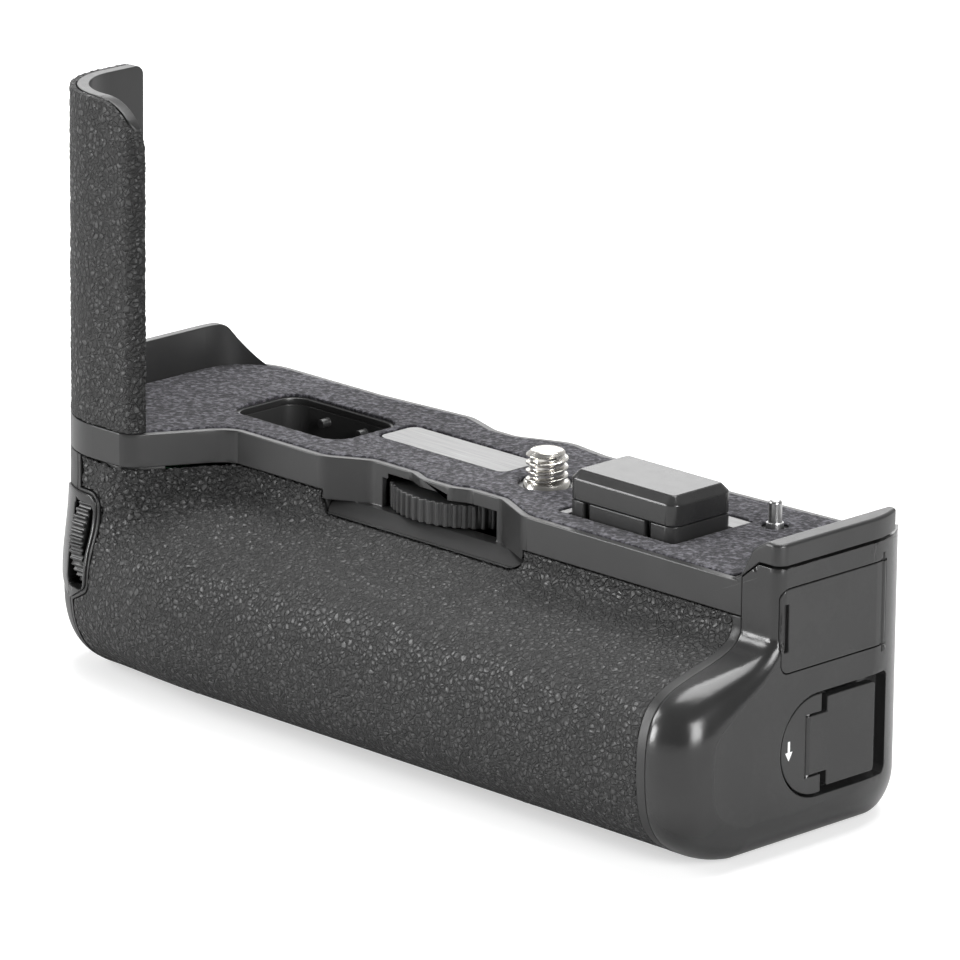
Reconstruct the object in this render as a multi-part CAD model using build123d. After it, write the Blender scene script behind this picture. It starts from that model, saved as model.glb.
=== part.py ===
from build123d import *
import os
from math import atan2, cos, hypot, pi, sin, sqrt

# Camera battery grip: a vertical grip that screws under a camera body.
# X runs from the shutter end (left) to the battery end (right), Y from front to back, Z up.
# The origin is the centre of the bounding box's base. All sizes are in millimetres.

# Overall sizes
overall_length = 140.4
overall_depth = 51.6
overall_height = 90.0
shutter_proud = 0.5
x_right = overall_length / 2
x_left = shutter_proud - overall_length / 2
y_back = overall_depth / 2
y_front = -overall_depth / 2

# Levels of the case, the cover and the pad
seam_z = 34.4
housing_seam_z = 31.2
rim_z = 39.5
pad_top_z = 39.7
pad_thickness = 0.5
plate_thickness = 1.0
cover_wall = 1.6
cover_tab_inset = 2.0
cover_tab_reach = 3.0
cover_tab_height = 2.0
plate_top_z = pad_top_z - pad_thickness
plate_low_z = plate_top_z - plate_thickness

# Clearances, and the overrun of every cut
fit_gap = 0.1
seam_gap = 0.15
free_gap = 0.3
shaft_gap = 0.05
overrun = 1.0

# Corner radii of the body
left_corner_r = 12.4
left_base_r = 9.6
back_left_r = 10.0
right_neck_r = 1.8
right_front_r = 6.6
right_base_r = 6.6
back_right_r = 13.0
base_back_r = 6.0

# Grip section: the neck under the cover, and the points down the front to the flat base.
# Each point is a share of the depth from the front, and a share of the case's height.
column_front_y = -20.5
neck_y = -6.7
base_front_y = -12.0
bar_section_shares = [
    (0.370, 0.960), (0.366, 0.925), (0.347, 0.890), (0.306, 0.858), (0.238, 0.829),
    (0.161, 0.800), (0.093, 0.765), (0.043, 0.712), (0.012, 0.628), (0.000, 0.509),
    (0.002, 0.363), (0.017, 0.244), (0.056, 0.145), (0.116, 0.076), (0.190, 0.026),
]
section_blend_start_share = 0.25
section_blend_end_share = 0.75
front_round_start_share = 0.1
front_round_end_share = 0.45
column_section_shares = [
    (0.103, 0.960), (0.103, 0.930), (0.103, 0.900), (0.102, 0.860), (0.101, 0.800),
    (0.098, 0.740), (0.093, 0.680), (0.087, 0.620), (0.081, 0.560), (0.076, 0.480),
    (0.077, 0.380), (0.085, 0.280), (0.108, 0.180), (0.145, 0.100), (0.200, 0.035),
]

# Where the finger column turns into the long bar
column_end_x = -51.3
bar_start_x = -40.2
bulge_start_x = -66.0
bulge_end_x = -38.0

# Seams across the length
end_cover_seam_x = -61.1
skin_right_x = 61.2
end_cap_thickness = 7.2
cap_seam_x = x_right - end_cap_thickness
skin_thickness = 1.0
skin_left_x = -60.4
skin_border = 0.5
skin_low_z = 1.4
left_back_y = 22.9
case_back_y = 24.4
back_step_left_x = -40.0
back_step_right_x = -24.0
back_swell_x = 30.0
back_swell_end_x = 56.0
foot_lead = 2.5

# Battery bay and tray
battery_length = 47.1
battery_width = 36.4
battery_height = 15.7
battery_corner_r = 1.5
tray_wall = 0.9
tray_floor = 1.2
tray_end_wall = 1.2
tray_gap = 0.3
bay_floor_z = 4.0
bay_centre_y = 1.6
bay_roof_thickness = 2.0

# Mounting screw, its gear and the wheel
screw_x = 10.4
screw_y = 7.6
screw_r = 3.15
screw_rise = 5.0
screw_chamfer = 0.8
screw_collar_r = 3.4
screw_collar_rise = 0.2
screw_hole_gap = 0.07
pad_screw_hole_r = 4.3
gear_module = 0.5
screw_teeth = 21
wheel_teeth = 37
gear_height = 1.1
gear_play = 0.1
gear_root_share = 0.56
gear_tip_share = 0.2
dedendum_share = 1.3
addendum_share = 0.8
wheel_lift = 0.2
wheel_r = 13.6
wheel_height = 3.6
wheel_ribs = 58
rib_depth = 0.45
rib_root_share = 0.72
rib_tip_share = 0.3
wheel_axle_r = 2.0
wheel_offset_y = 1.05

# Wheel recess and its window in the cover
recess_left_x = -22.2
recess_right_x = 19.5
recess_back_y = -2.9
recess_bump_y = -4.2
sill_z = 32.9
window_left_x = -13.2
window_right_x = 10.5
window_top_z = 37.4
housing_corner_r = 2.5

# Left wall, lip and fin
wall_top_z = 46.2
wall_thickness = 1.5
lip_top_z = 46.3
lip_low_z = 43.1
lip_back_y = 19.0
fin_back_y = -1.2
fin_right_x = -48.3
fin_shell_thickness = 1.8
fin_skin_thickness = 1.2
fin_corner_r = 8.5

# Storage well and label window
well_left_x = -48.9
well_right_x = -26.3
well_front_y = 0.3
well_back_y = 13.4
well_depth = 8.8
well_wall = 1.2
label_left_x = -24.6
label_right_x = 2.6
label_front_y = 6.3
label_back_y = 15.0
label_thickness = 0.3

# Connector block
block_left_x = 22.8
block_right_x = 44.1
block_front_y = -0.9
block_back_y = 11.6
block_top_z = 46.2
block_seam_z = 41.8
block_corner_r = 1.8
block_chamfer = 1.2
slot_width = 1.2
plug_clear = 2.6

# Locating pin
pin_x = 47.9
pin_y = 16.2
pin_r = 1.0
pin_rise = 3.8
pin_chamfer = 0.3
pin_root_r = 1.3
pin_root_rise = 0.5
pin_flange_r = 2.0
pin_flange_thickness = 1.0

# Port cover on the battery end
port_front_y = -6.2
port_back_y = 15.8
port_low_z = 27.1
port_top_z = 39.8
port_thickness = 1.2
port_corner_r = 1.6
finger_slot_front_y = -5.5
finger_slot_back_y = -4.6
finger_slot_low_z = 30.4
finger_slot_top_z = 37.4
port_ledge = 1.8
port_window_front_y = -2.8
port_window_r = 1.0
port_pin_r = 0.45
port_pin_reach = 1.0

# Tray latch on the battery end
latch_y = 1.9
latch_z = 15.3
latch_r = 7.75
latch_right_y = 16.6
latch_depth = 2.6
disc_base_thickness = 0.7
flap_half_height = 6.7
flap_left_y = 4.0
flap_right_y = 13.9
flap_corner_r = 0.6
flap_thickness = 1.4
flap_knuckle_half = 4.4
flap_pin_y = 0.5
flap_pin_r = 0.4
hook_thickness = 1.0
hook_width = 4.0
hook_shaft_r = 2.5

# Dials at the shutter end
dial_r = 10.0
dial_width = 2.8
dial_x = -59.2
dial_ribs = 56
rear_dial_ribs = 44
dial_shaft_r = 1.2
front_dial_z = 20.7
front_dial_rim_y = -22.4
rear_dial_r = 8.0
rear_dial_z = 22.0
rear_dial_rim_y = 23.2

# Shutter button, lock lever and function button on the left end
shutter_y = 3.0
shutter_z = 23.0
shutter_r = 4.4
shutter_travel = 1.2
lever_r = 7.4
function_y = 3.0
function_z = 11.5
function_r = 2.4
function_edge_r = 0.3
button_travel = 0.5

# Rear panel and its controls
panel_left_x = -56.6
panel_right_x = -39.0
panel_low_z = 6.0
panel_top_z = 32.0
panel_thickness = 1.2
rear_button_r = 2.8
rear_button_proud = 0.8
focus_x = -48.5
focus_z = 17.0
focus_r = 3.2

# Cover outline: scoop over the wheel, and the back edge's shallow notch and ridge
scoop_left_x = -15.5
scoop_right_x = 11.5
bump_left_x = -4.0
bump_right_x = 2.2
bump_shoulder = 3.0
scoop_end_r = 4.5
scoop_r = 3.0
notch_left_x = -14.5
notch_right_x = -10.0
notch_y = 22.0
notch_r = 4.0
ridge_x = -2.0
ridge_y = 25.6
ridge_right_x = 6.0
ridge_r = 6.0
notch_start_x = -21.5
rim_width = 1.2
sill_y = -4.0
sill_front_y = -9.0
sill_edge_height = 0.2

# Rooms inside the case
room_front_y = -4.2
room_back_y = 20.6
room_left_x = -52.0
room_right_x = 60.5
column_room_front_y = -15.0
column_room_back_y = 20.0
column_room_low_z = 5.0
column_room_right_x = -40.5
bay_left_x = -38.5
post_r = 2.2
post_left_x = -36.0
post_middle_x = 14.0
boss_r = 5.0
boss_top_z = 31.8

# Fin, felt and lip details
fin_top_z = overall_height
fin_end_r = 2.5
fin_back_corner_r = 1.5
foot_tab_length = 5.0
foot_tab_height = 1.6
foot_tab_depth = 1.0
felt_right_x = 60.3
felt_gap = 0.2
wall_slant = 4.5
wall_back_y = 21.0
lip_root_x = 60.5
lip_foot_x = 62.4
lip_foot_z = 40.1
lip_foot_r = 3.0
lip_bend_x = 64.8
lip_bend_z = 44.8
lip_bend_r = 2.5
lip_crest_x = 67.4
lip_crest_r = 1.0
lip_edge_r = 0.5
wall_corner_r = 2.0
cap_slope_r = 1.0
lip_step_r = 1.0
lip_step_x = 66.2
lip_root_z = 40.4
cap_slope_low_z = 40.2
cap_slope_x = 66.0
cap_top_z = 42.7

# Well and label details
well_corner_r = 3.0
well_floor_r = 2.2
well_felt_gap = 0.6
well_peg_r = 0.7
well_peg_length = 1.6
well_peg_shares = (0.32, 0.68)
peg_z = 36.6
label_corner_r = 2.0
label_margin = 0.5

# Connector details
block_wall = 1.3
block_slot_left_x = 26.7
block_slot_right_x = 38.9
block_slot_depth = 1.0
felt_block_gap = 0.3
mat_left_reach = 1.6
mat_back_reach = 3.9
mat_thickness = 0.2
mat_gap = 0.1
spigot_height = 1.2
spigot_wall = 1.0
plug_top_z = 44.6
board_low_z = 25.5
board_thickness = 1.2
board_left_x = 25.2
board_right_x = 54.5
board_back_y = 15.0
stand_r = 2.0
chip_shares = (0.12, 0.9)
chip_height = 1.0
chip_inset = 1.0

# Retainer under the screw's gear
retainer_right_x = 22.0
retainer_front_y = 0.6
retainer_back_y = 14.6
retainer_thickness = 1.5
retainer_post_r = 1.6
retainer_post_x = 19.6
retainer_post_inset = 2.4
retainer_screw_r = 0.9
retainer_head_r = 1.5
retainer_head_height = 0.8
wheel_clear = 0.4
hub_r = 6.0

# Jacks behind the port cover
jack_r = 2.5
jack_bore_r = 1.7
jack_z = 31.4
power_jack_y = 0.8
headphone_jack_y = 9.2
jack_left_x = 55.0
jack_right_x = 67.0
jack_wall_gap = 0.05
power_pin_r = 0.6
power_pin_inset = 1.0

# Battery tray
tray_end_gap = 2.0
tray_left_x = bay_left_x + tray_end_gap
tray_height = 11.7
tray_low_z = bay_floor_z + tray_gap
tray_divider = 0.9
battery_gap = 0.1
window_share = 0.7
contact_thickness = 0.4
contact_width = 3.0
contact_pitch = 6.0
contact_count = 4
contact_block_depth = 1.6
contact_z = 17.0
contact_height = 6.0
contact_rivet = 0.2
strip_height = 2.0

# Latch parts
latch_floor_x = x_right - latch_depth
disc_gap = 0.35
disc_plate_x = latch_floor_x + fit_gap
disc_face_x = disc_plate_x + disc_base_thickness
latch_face_drop = 0.2
latch_face_x = x_right - latch_face_drop
latch_corner_r = 1.0
ear_gap = 0.3
ear_right_y = 2.8
knuckle_pocket_left_y = -0.45
flap_low_x = latch_face_x - flap_thickness
hook_x = cap_seam_x + fit_gap
hook_top_z = 22.9
hook_pocket_depth = 1.6
hook_pocket_r = 8.2
keeper_low_z = 23.3
keeper_top_z = 26.0
keeper_length = 2.3
keeper_back_y = 3.8
keeper_gap = 0.3
finger_slot_depth = 0.8

# Bezel of the front dial
bezel_left_x = -66.0
bezel_right_x = -56.2
bezel_top_z = 28.6
bezel_low_z = 12.0
bezel_point_z = 14.8
bezel_proud = 0.3
bezel_depth = 1.6
bezel_corner_r = 1.6
slot_left_x = -61.5
slot_right_x = -56.8
slot_low_z = 14.2
slot_top_z = 27.2
slot_corner_r = 1.2
dial_gap = 0.4
dial_head_r = 1.9
dial_head_length = 0.8
dial_rib_depth = 0.4
dial_rib_root_share = 0.3
dial_rib_tip_share = 0.15
dial_seam_gap = 0.6
case_room_gap = 1.0

# Boards and switches of the finger column
control_board_x = -55.6
control_board_thickness = 1.2
control_board_front_y = -14.7
control_board_back_y = 18.0
control_board_top_z = 33.0
rear_board_y = 15.0
rear_board_thickness = 1.0
rear_board_left_x = -54.2
rear_board_right_x = -40.9
rear_board_top_z = 32.0
encoder_half = 2.4
encoder_depth = 2.0
dome_r = 1.9
dome_height = 0.4
stem_r = 1.2
flange_extra = 0.6
rear_flange_extra = 0.25
flange_thickness = 0.6
button_gap = 0.1
lever_gap = 0.15
collar_width = 0.7
shutter_crown_r = 12.0
lever_recess = 1.4
lever_tab_width = 3.0
boss_plate_r = 8.3
boss_plate_depth = 1.6
switch_r = 2.0
switch_depth = 2.2
spring_r = 1.9
spring_wire_r = 0.2
spring_turns = 6

# Rear buttons and focus lever
ae_button_x = -51.3
af_button_x = -45.0
upper_button_z = 27.0
lower_button_z = 9.9
lamp_x = -44.5
lamp_r = 0.8
lamp_reach = 1.0
panel_corner_r = 2.5
stick_r = 0.9
stick_hole_r = 2.3
stick_cap_low_y = 23.6
stick_cap_height = 1.5
stick_cap_chamfer = 0.5
gimbal_y = 18.0
rocker_half = 2.4
rocker_hole_half = 1.5
rocker_thickness = 1.4
gimbal_pin_r = 0.4
cheek_thickness = 0.7
cheek_gap = 0.2
cheek_half = 1.5
cheek_top_y = 18.9
pad_left_x = -37.0
pad_right_x = -16.0
pad_low_z = 7.0
pad_high_z = 31.5
pad_corner_r = 3.0
pad_front_y = 20.0

# Tripod socket and the screws of the base
socket_r = 3.175
socket_outer_r = 6.0
socket_x = screw_x
socket_y = 0
base_screw_r = 1.9
base_screw_depth = 0.9
base_shank_r = 0.9
base_screw_x = 54.0
base_screw_inner_x = 30.0
base_screw_front_y = -10.0
base_screw_back_y = 15.0
cross_width = 0.4


def block(x0, x1, y0, y1, z0, z1):
    """A box given by its six faces."""
    centre = Pos((x0 + x1) / 2, (y0 + y1) / 2, (z0 + z1) / 2)
    return centre * Box(x1 - x0, y1 - y0, z1 - z0)


def rounded_block(x0, x1, y0, y1, z0, z1, radius):
    """A box with rounded upright edges."""
    solid = block(x0, x1, y0, y1, z0, z1)
    return fillet(solid.edges().filter_by(Axis.Z), radius)


def rod_x(x0, x1, y, z, radius):
    """A round rod along X."""
    return Pos((x0 + x1) / 2, y, z) * Rot(0, 90, 0) * Cylinder(radius, x1 - x0)


def rod_y(y0, y1, x, z, radius):
    """A round rod along Y."""
    return Pos(x, (y0 + y1) / 2, z) * Rot(90, 0, 0) * Cylinder(radius, y1 - y0)


def rod_z(z0, z1, x, y, radius):
    """A round rod along Z."""
    return Pos(x, y, (z0 + z1) / 2) * Cylinder(radius, z1 - z0)


def smooth(value, start, end):
    """A smooth step from 0 at start to 1 at end."""
    t = min(1, max(0, (value - start) / (end - start)))
    return t * t * (3 - 2 * t)


def front_neck_y(x):
    """The front face under the cover: forward on the finger column, back on the bar."""
    return column_front_y + (neck_y - column_front_y) * smooth(x, column_end_x, bar_start_x)


def front_points(x):
    """Points down the grip's front at one place along its length."""
    points = []
    count = len(bar_section_shares)
    for index in range(count):
        share = index / (count - 1)
        upper = smooth(x, column_end_x, bar_start_x)
        lower = smooth(x, bulge_start_x, bulge_end_x)
        turned = smooth(share, section_blend_start_share, section_blend_end_share)
        blend = upper + (lower - upper) * turned
        bar = bar_section_shares[index]
        column = column_section_shares[index]
        depth_share = column[0] + (bar[0] - column[0]) * blend
        height_share = column[1] + (bar[1] - column[1]) * blend
        points.append((y_front + depth_share * overall_depth, height_share * seam_z))
    return points


def back_y(x):
    """The back face: a little further in at the shutter end, further out at the battery end."""
    left_part = left_back_y + (case_back_y - left_back_y) * smooth(x, back_step_left_x, back_step_right_x)
    return left_part + (y_back - case_back_y) * smooth(x, back_swell_x, back_swell_end_x)


def end_inset(x, extra, left_r, right_r):
    """How far a rounded end draws the outline in at one place along the length."""
    from_left = x - (x_left + extra)
    from_right = (x_right - extra) - x
    left_r = left_r - extra
    right_r = max(right_r - extra, 0)
    inset = 0
    if from_left < left_r:
        inset = left_r - sqrt(max(left_r ** 2 - (left_r - from_left) ** 2, 0))
    if from_right < right_r:
        inset = right_r - sqrt(max(right_r ** 2 - (right_r - from_right) ** 2, 0))
    return inset


def section(x, extra, top_z):
    """The closed outline across the body at x, drawn in by extra on every side but the top."""
    points = front_points(x)
    drawn = []
    count = len(points)
    for index in range(count):
        before = points[max(index - 1, 0)]
        after = points[min(index + 1, count - 1)]
        along_y = after[0] - before[0]
        along_z = after[1] - before[1]
        size = hypot(along_y, along_z)
        normal_y = -along_z / size
        normal_z = along_y / size
        lean = min(1, max(0, normal_z))
        rounding = smooth(index / count, front_round_start_share, front_round_end_share)
        front_r = right_neck_r + (right_front_r - right_neck_r) * rounding
        left_r = left_corner_r + (left_base_r - left_corner_r) * lean
        right_r = front_r + (right_base_r - front_r) * lean
        inset = extra + end_inset(x, extra, left_r, right_r)
        drawn.append((points[index][0] + normal_y * inset, points[index][1] + normal_z * inset))
    base = extra + end_inset(x, extra, left_base_r, right_base_r)
    rear = back_y(x) - extra - end_inset(x, extra, back_left_r, back_right_r)
    neck = drawn[0][0]
    bend = base_back_r - extra
    front = [Vector(x, y, z) for y, z in drawn]
    foot_y = max(base_front_y + extra, drawn[-1][0] + foot_lead)
    foot = Vector(x, foot_y, base)
    curve = Spline(front + [foot])
    neck_top = Vector(x, neck, top_z)
    rear_foot = Vector(x, rear - bend, base)
    rear_mid = Vector(x, rear - bend * (1 - sin(pi / 4)), base + bend * (1 - cos(pi / 4)))
    rear_low = Vector(x, rear, base + bend)
    rear_top = Vector(x, rear, top_z)
    edges = [
        Line(neck_top, front[0]),
        curve,
        Line(foot, rear_foot),
        ThreePointArc(rear_foot, rear_mid, rear_low),
        Line(rear_low, rear_top),
        Line(rear_top, neck_top),
    ]
    return Wire([edge.edge() for edge in edges])


def stations(x0, x1, extra):
    """Places along the length for the sections: close together where the form turns."""
    places = []
    steps = 6
    for step in range(steps + 1):
        places.append(x_left + extra + left_corner_r * (1 - cos(pi / 2 * step / steps)))
        places.append(x_right - extra - right_front_r * (1 - cos(pi / 2 * step / steps)))
    turns = 6
    for step in range(1, turns + 1):
        places.append(column_end_x + (bar_start_x - column_end_x) * step / turns)
    middle = 10
    for step in range(1, middle):
        places.append(bar_start_x + (x_right - back_right_r - bar_start_x) * step / middle)
    places.append(x_right - back_right_r)
    kept = [x0]
    for place in sorted(places):
        if kept[-1] + fit_gap < place < x1 - fit_gap:
            kept.append(place)
    return kept + [x1]


def form(x0, x1, extra, top_z):
    """The body's outer form between two places, drawn in by extra."""
    wires = [section(x, extra, top_z) for x in stations(x0, x1, extra)]
    return Solid.make_loft(wires)


def outline(corners):
    """A closed outline through (across, up, corner radius) points."""
    points = [(across, up) for across, up, radius in corners]
    radii = [radius for across, up, radius in corners]
    return make_face(FilletPolyline(*points, radius=radii, close=True))


def prism_z(corners, z0, z1):
    """An outline in X and Y raised from z0 to z1."""
    return extrude(Pos(0, 0, z0) * outline(corners), amount=z1 - z0, dir=(0, 0, 1))


def prism_y(corners, y0, y1):
    """An outline in X and Z carried from y0 to y1."""
    plane = Plane(origin=(0, y0, 0), x_dir=(1, 0, 0), z_dir=(0, -1, 0))
    return extrude(plane * outline(corners), amount=y1 - y0, dir=(0, 1, 0))


def prism_x(corners, x0, x1):
    """An outline in Y and Z carried from x0 to x1."""
    plane = Plane(origin=(x0, 0, 0), x_dir=(0, 1, 0), z_dir=(1, 0, 0))
    return extrude(plane * outline(corners), amount=x1 - x0, dir=(1, 0, 0))


def toothed_disc(teeth, root_r, tip_r, root_share, tip_share, z0, z1, phase):
    """A disc with straight-sided teeth; the shares are of one pitch."""
    points = []
    pitch = 2 * pi / teeth
    corners = [
        (root_r, -root_share),
        (tip_r, -tip_share),
        (tip_r, tip_share),
        (root_r, root_share),
    ]
    for tooth in range(teeth):
        middle = pitch * tooth + phase
        for radius, share in corners:
            angle = middle + pitch * share / 2
            points.append((radius * cos(angle), radius * sin(angle)))
    face = make_face(Polyline(*points, close=True))
    return extrude(Pos(0, 0, z0) * face, amount=z1 - z0, dir=(0, 0, 1))


# Derived places
case_left_x = end_cover_seam_x
case_right_x = cap_seam_x - fit_gap
end_cover_right_x = end_cover_seam_x - fit_gap
roof_z = bay_floor_z + tray_gap + tray_floor + battery_height + 2 * tray_gap + fit_gap
bay_top_z = roof_z
room_floor_z = bay_top_z + bay_roof_thickness
tray_half_width = battery_width / 2 + tray_wall + fit_gap
tray_front_y = bay_centre_y - tray_half_width
tray_back_y = bay_centre_y + tray_half_width
wheel_distance = gear_module * (screw_teeth + wheel_teeth) / 2
wheel_x = screw_x - sqrt(wheel_distance ** 2 - wheel_offset_y ** 2)
wheel_y = screw_y + wheel_offset_y
wheel_low_z = sill_z + wheel_lift
wheel_top_z = wheel_low_z + wheel_height
gear_low_z = wheel_top_z + wheel_lift
gear_top_z = gear_low_z + gear_height


# The three outer forms, and the same forms drawn in under the skins
form_top_z = seam_z - seam_gap
case_form = form(case_left_x, case_right_x, 0, form_top_z)
skin_seat_form = form(case_left_x - overrun, cap_seam_x, skin_thickness, form_top_z + overrun)

# Regions where a skin covers the case
front_region = block(
    skin_left_x, skin_right_x, y_front - overrun, room_front_y - skin_thickness,
    skin_low_z, form_top_z + overrun)
pad_corners = [
    (pad_left_x, pad_low_z, pad_corner_r),
    (pad_right_x, pad_low_z, pad_corner_r),
    (pad_right_x, pad_high_z, pad_corner_r),
    (pad_left_x, pad_high_z, pad_corner_r),
]
pad_region = prism_y(pad_corners, pad_front_y, y_back + overrun)

# Pocket under the thumbwheel housing, and the pocket for the dial bezel
housing_corners = [
    (recess_left_x, housing_seam_z, housing_corner_r),
    (recess_right_x, housing_seam_z, housing_corner_r),
    (recess_right_x, rim_z + overrun, 0),
    (recess_left_x, rim_z + overrun, 0),
]
housing_pocket_corners = [
    (recess_left_x - seam_gap, housing_seam_z - seam_gap, housing_corner_r),
    (recess_right_x + seam_gap, housing_seam_z - seam_gap, housing_corner_r),
    (recess_right_x + seam_gap, rim_z + overrun, 0),
    (recess_left_x - seam_gap, rim_z + overrun, 0),
]
housing_pocket = prism_y(housing_pocket_corners, y_front, 0)


def bezel_prism_grown(extra):
    """The five-sided outline of the dial bezel, grown by extra and carried into the case."""
    corner_r = bezel_corner_r + extra
    corners = [
        (bezel_left_x - extra, bezel_point_z - extra, corner_r),
        ((bezel_left_x + bezel_right_x) / 2, bezel_low_z - extra, corner_r),
        (bezel_right_x + extra, bezel_point_z - extra, corner_r),
        (bezel_right_x + extra, bezel_top_z + extra, corner_r),
        (bezel_left_x - extra, bezel_top_z + extra, corner_r),
    ]
    return prism_y(corners, y_front - overrun, column_room_front_y)


bezel_prism = bezel_prism_grown(0)
skin_region = front_region - bezel_prism_grown(skin_border)

# Spaces swept by the wheel and the dials
wheel_space = rod_z(sill_z, plate_low_z, wheel_x, wheel_y, wheel_r + dial_gap)
wheel_room = rod_z(boss_top_z, plate_low_z, wheel_x, wheel_y, wheel_r + case_room_gap)
front_dial_y = front_dial_rim_y + dial_r
rear_dial_y = rear_dial_rim_y - rear_dial_r
dial_left_x = dial_x - dial_width / 2
dial_right_x = dial_x + dial_width / 2
dial_space_left_x = dial_left_x - dial_seam_gap
dial_space_right_x = dial_right_x + dial_gap
front_dial_space = rod_x(
    dial_space_left_x, dial_space_right_x, front_dial_y, front_dial_z, dial_r + dial_gap)
front_dial_room = rod_x(
    dial_space_left_x, dial_right_x + case_room_gap, front_dial_y, front_dial_z,
    dial_r + case_room_gap)
rear_dial_space = rod_x(
    dial_space_left_x, dial_space_right_x, rear_dial_y, rear_dial_z, rear_dial_r + dial_gap)

# Upright posts that carry the cover's plate
post_places = [
    (post_left_x, room_back_y - post_r),
    (post_middle_x, room_back_y - post_r),
    (board_right_x + post_r, room_back_y - post_r),
    (board_left_x - post_r - fit_gap, room_front_y + post_r),
]

# Rear buttons: (x, z)
rear_button_places = {
    "ae_button": (ae_button_x, upper_button_z),
    "af_button": (af_button_x, upper_button_z),
    "q_button": (ae_button_x, lower_button_z),
}


def main_case():
    """The lower case with its rooms, posts and pockets."""
    covered = skin_region + pad_region
    solid = (case_form - covered) + (skin_seat_form & covered & block(
        case_left_x, case_right_x, y_front, y_back, 0, form_top_z))
    solid -= block(
        bay_left_x, cap_seam_x, tray_front_y - tray_gap, tray_back_y + tray_gap, bay_floor_z, bay_top_z)
    solid -= block(room_left_x, room_right_x, room_front_y, room_back_y, room_floor_z, rim_z)
    solid -= block(
        case_left_x - overrun, column_room_right_x, column_room_front_y, column_room_back_y,
        column_room_low_z, rim_z)
    solid -= housing_pocket
    solid -= bezel_prism
    solid -= front_dial_room
    solid -= rear_dial_space
    for x, y in post_places:
        solid += rod_z(room_floor_z - overrun, plate_low_z, x, y, post_r)
    solid += rod_z(room_floor_z - overrun, boss_top_z, wheel_x, wheel_y, boss_r)
    solid -= wheel_room
    solid -= rod_z(room_floor_z, boss_top_z + overrun, wheel_x, wheel_y, wheel_axle_r)
    for x in (board_left_x + stand_r, board_right_x - stand_r):
        for y in (room_front_y + stand_r, board_back_y - stand_r):
            solid += rod_z(room_floor_z - overrun, board_low_z, x, y, stand_r)
    for y in (power_jack_y, headphone_jack_y):
        solid -= rod_x(room_right_x - overrun, cap_seam_x, y, jack_z, jack_r)
    solid -= rear_panel_blank(panel_thickness + overrun)
    for x, z in rear_button_places.values():
        solid -= rod_y(column_room_back_y - overrun, y_back, x, z, rear_button_r + button_gap)
    solid -= rod_y(column_room_back_y - overrun, y_back, focus_x, focus_z, stick_hole_r)
    solid -= rod_y(column_room_back_y - overrun, y_back, lamp_x, lower_button_z, lamp_r)
    solid -= rod_z(-overrun, bay_floor_z + overrun, socket_x, socket_y, socket_outer_r)
    for x, y in base_screw_places():
        solid -= rod_z(-overrun, base_screw_depth, x, y, base_screw_r)
        solid -= rod_z(0, bay_floor_z / 2, x, y, base_shank_r)
    return solid


def rear_panel_blank(depth):
    """The rear control panel's outline carried depth inwards from the back face."""
    corners = [
        (panel_left_x, panel_low_z, panel_corner_r),
        (panel_right_x, panel_low_z, panel_corner_r),
        (panel_right_x, panel_top_z, panel_corner_r),
        (panel_left_x, panel_top_z, panel_corner_r),
    ]
    return prism_y(corners, left_back_y - panel_thickness, left_back_y - panel_thickness + depth)


def base_screw_places():
    """Where the screws go in the base."""
    places = []
    for x in (-base_screw_x, -base_screw_inner_x, base_screw_inner_x, base_screw_x):
        for y in (base_screw_front_y, base_screw_back_y):
            places.append((x, y))
    return places


def grip_skin():
    """Leather-grained rubber over the grip's front."""
    solid = (case_form & skin_region) - skin_seat_form
    solid -= housing_pocket
    return largest(solid)


def rear_pad():
    """Small rubber thumb pad on the back."""
    return largest((case_form & pad_region) - skin_seat_form)


def largest(shape):
    """The biggest solid of a cut, without slivers."""
    return sorted(shape.solids(), key=lambda solid: solid.volume)[-1]


def end_cover():
    """The cup at the shutter end, with its button, lever and dial openings."""
    outer = form(x_left, end_cover_right_x, 0, form_top_z)
    inner = form(x_left + cover_wall, case_left_x, cover_wall, form_top_z + overrun)
    solid = outer - inner
    boss_x = x_left + cover_wall + boss_plate_depth
    plate = rod_x(x_left + cover_wall / 2, boss_x, shutter_y, shutter_z, boss_plate_r)
    solid += plate & outer
    solid -= bezel_prism
    solid -= front_dial_space
    solid -= rear_dial_space
    recess = rod_x(x_left - overrun, x_left + lever_recess, shutter_y, shutter_z, lever_r + lever_gap)
    collar_r = shutter_r + button_gap + collar_width
    collar = rod_x(x_left - overrun, x_left + lever_recess, shutter_y, shutter_z, collar_r)
    solid -= recess - collar
    solid -= rod_x(x_left - overrun, boss_x + overrun, shutter_y, shutter_z, shutter_r + button_gap)
    solid -= rod_x(
        x_left - overrun, x_left + cover_wall + overrun, function_y, function_z, function_r + button_gap)
    for z in (column_room_low_z + cover_tab_inset, form_top_z - cover_tab_inset):
        solid += block(
            end_cover_right_x - cover_wall, case_left_x + cover_tab_reach, column_room_back_y - cover_wall,
            column_room_back_y, z - cover_tab_height / 2, z + cover_tab_height / 2)
    return largest(solid)


def dial_bezel():
    """The bezel round the front dial, a little proud of the surface."""
    outer = form(bezel_left_x - overrun, bezel_right_x + overrun, -bezel_proud, seam_z)
    inner = form(bezel_left_x - 2 * overrun, bezel_right_x + 2 * overrun, bezel_depth, seam_z + overrun)
    solid = (outer - inner) & bezel_prism
    slot = [
        (slot_left_x, slot_low_z, slot_corner_r),
        (slot_right_x, slot_low_z, slot_corner_r),
        (slot_right_x, slot_top_z, slot_corner_r),
        (slot_left_x, slot_top_z, slot_corner_r),
    ]
    solid -= prism_y(slot, y_front - overrun, 0)
    solid -= front_dial_space
    return largest(solid)


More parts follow.
